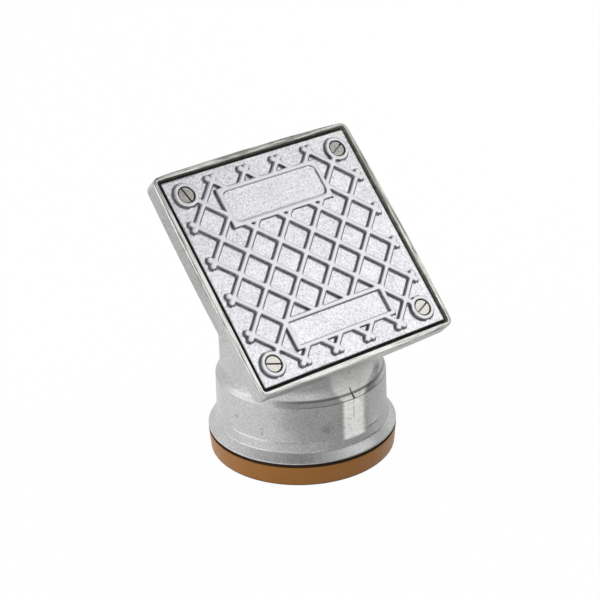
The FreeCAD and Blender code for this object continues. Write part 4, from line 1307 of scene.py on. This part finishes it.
class RODDING_OT_stage(bpy.types.Operator):
    """Sets up the floor, the lights, the surroundings and the camera."""
    bl_idname = "rodding.stage"
    bl_label = "Stage"

    def execute(self, context):
        scene = context.scene
        eye = scene.rodding_eye
        stage = eye.stage
        points = [Vector((p.x, p.y, CAP_LOW.z - FLOOR_DROP))
                  for p in ring_points((0, 0), stage.floor_radius, FLOOR_STEPS)]
        floor = make_object("floor", points, [tuple(range(FLOOR_STEPS))], [white_floor(eye.finishes)])

        # Only the softbox shows in reflections; the other two brighten what isn't bare metal.
        self.add_light("softbox", Vector((0.88, -0.80, 1.2)), 0.85, 0.85, stage.softbox, True)
        self.add_light("strip light", MIDDLE + Vector((-1.6, 0.5, 0.65)), 2.8, 1.3, stage.strip, False)
        self.add_light("back light", MIDDLE + Vector((1.7, 0.4, 0.6)), 1.8, 1.1, stage.back, False)

        cards = {name: matt_card(name, *look) for name, look in CARD_FINISHES.items()}
        for name, place, width, height, finish, flat in CARDS:
            origin = Vector() if flat else MIDDLE
            self.add_card(name, origin + Vector(place), width, height, cards[finish], flat)

        world = bpy.data.worlds.new("studio")
        world.use_nodes = True
        scene.world = world
        add = partial(add_node, world.node_tree)
        dim = world.node_tree.nodes["Background"]
        set_inputs(dim, {"Color": WHITE, "Strength": SKY_STRENGTH})
        bright = add("Background", {"Color": WHITE, "Strength": 1.0})
        both = add("MixShader", [seen_rays(add), dim.outputs["Background"], bright])
        set_inputs(world.node_tree.nodes["World Output"], {"Surface": both})

        data = bpy.data.cameras.new("camera")
        data.lens = stage.lens
        data.sensor_width = SENSOR_WIDTH
        data.clip_start = CLIP_START
        camera = bpy.data.objects.new("camera", data)
        scene.collection.objects.link(camera)
        turn, rise, roll = stage.camera_turn, stage.camera_rise, stage.camera_roll
        back = Vector((math.sin(turn) * math.cos(rise), -math.cos(turn) * math.cos(rise), math.sin(rise)))
        right = Vector((math.cos(turn), math.sin(turn), 0))
        up = back.cross(right)
        aside = right * math.cos(roll) + up * math.sin(roll)
        upward = up * math.cos(roll) - right * math.sin(roll)
        axes = Matrix((aside, upward, back)).transposed().to_4x4()
        camera.matrix_world = Matrix.Translation(stage.camera_place) @ axes
        scene.camera = camera
        scene.view_settings.view_transform = "Standard"
        return {"FINISHED"}

    def add_light(self, name, place, width, height, power, mirrored):
        """Hangs an area light that faces the object, and that reflections see or not."""
        data = bpy.data.lights.new(name, "AREA")
        data.shape = "RECTANGLE"
        data.size = width
        data.size_y = height
        data.energy = power
        light = bpy.data.objects.new(name, data)
        light.location = place
        light.visible_glossy = mirrored
        light.rotation_mode = "QUATERNION"
        light.rotation_quaternion = (place - MIDDLE).to_track_quat("Z", "Y")
        bpy.context.scene.collection.objects.link(light)

    def add_card(self, name, place, width, height, finish, flat):
        """Puts up a card that only reflections see, lying flat or facing the object."""
        turn = (Vector((0, 0, 1)) if flat else MIDDLE - place).to_track_quat("Z", "Y")
        points = [place + turn @ Vector((x * width / 2, y * height / 2, 0)) for x, y in SQUARE]
        flag = make_object(name, points, [(0, 1, 2, 3)], [finish])
        flag.visible_camera = False
        flag.visible_diffuse = False
        flag.visible_shadow = False


OPERATORS = (
    RODDING_OT_casting,
    RODDING_OT_cover,
    RODDING_OT_screws,
    RODDING_OT_cap,
    RODDING_OT_seals,
    RODDING_OT_stage,
)


class RODDING_PT_sidebar(bpy.types.Panel):
    """Lists the sizes, the colours and the steps that build the rodding eye."""
    bl_idname = "RODDING_PT_sidebar"
    bl_label = "Rodding Eye"
    bl_space_type = "VIEW_3D"
    bl_region_type = "UI"
    bl_category = "Rodding Eye"

    def draw(self, context):
        eye = context.scene.rodding_eye
        for group in (eye.casting, eye.cover, eye.screws, eye.cap, eye.finishes, eye.stage):
            box = self.layout.box()
            for name in group.__annotations__:
                box.prop(group, name)
        for operator in OPERATORS:
            self.layout.operator(operator.bl_idname)


CLASSES = (
    CastingSizes,
    CoverSizes,
    ScrewSizes,
    CapSizes,
    Finishes,
    StageSizes,
    RoddingEye,
    *OPERATORS,
    RODDING_PT_sidebar,
)


def register():
    """Makes the sizes, the operators and the panel known."""
    for kind in CLASSES:
        bpy.utils.register_class(kind)
    bpy.types.Scene.rodding_eye = bpy.props.PointerProperty(type=RoddingEye)


def unregister():
    """Takes everything that register added away again."""
    del bpy.types.Scene.rodding_eye
    for kind in reversed(CLASSES):
        bpy.utils.unregister_class(kind)


def main():
    """Builds every piece and the stage."""
    register()
    bpy.ops.rodding.casting()
    bpy.ops.rodding.cover()
    bpy.ops.rodding.screws()
    bpy.ops.rodding.cap()
    bpy.ops.rodding.seals()
    bpy.ops.rodding.stage()


if __name__ == "__main__":
    main()
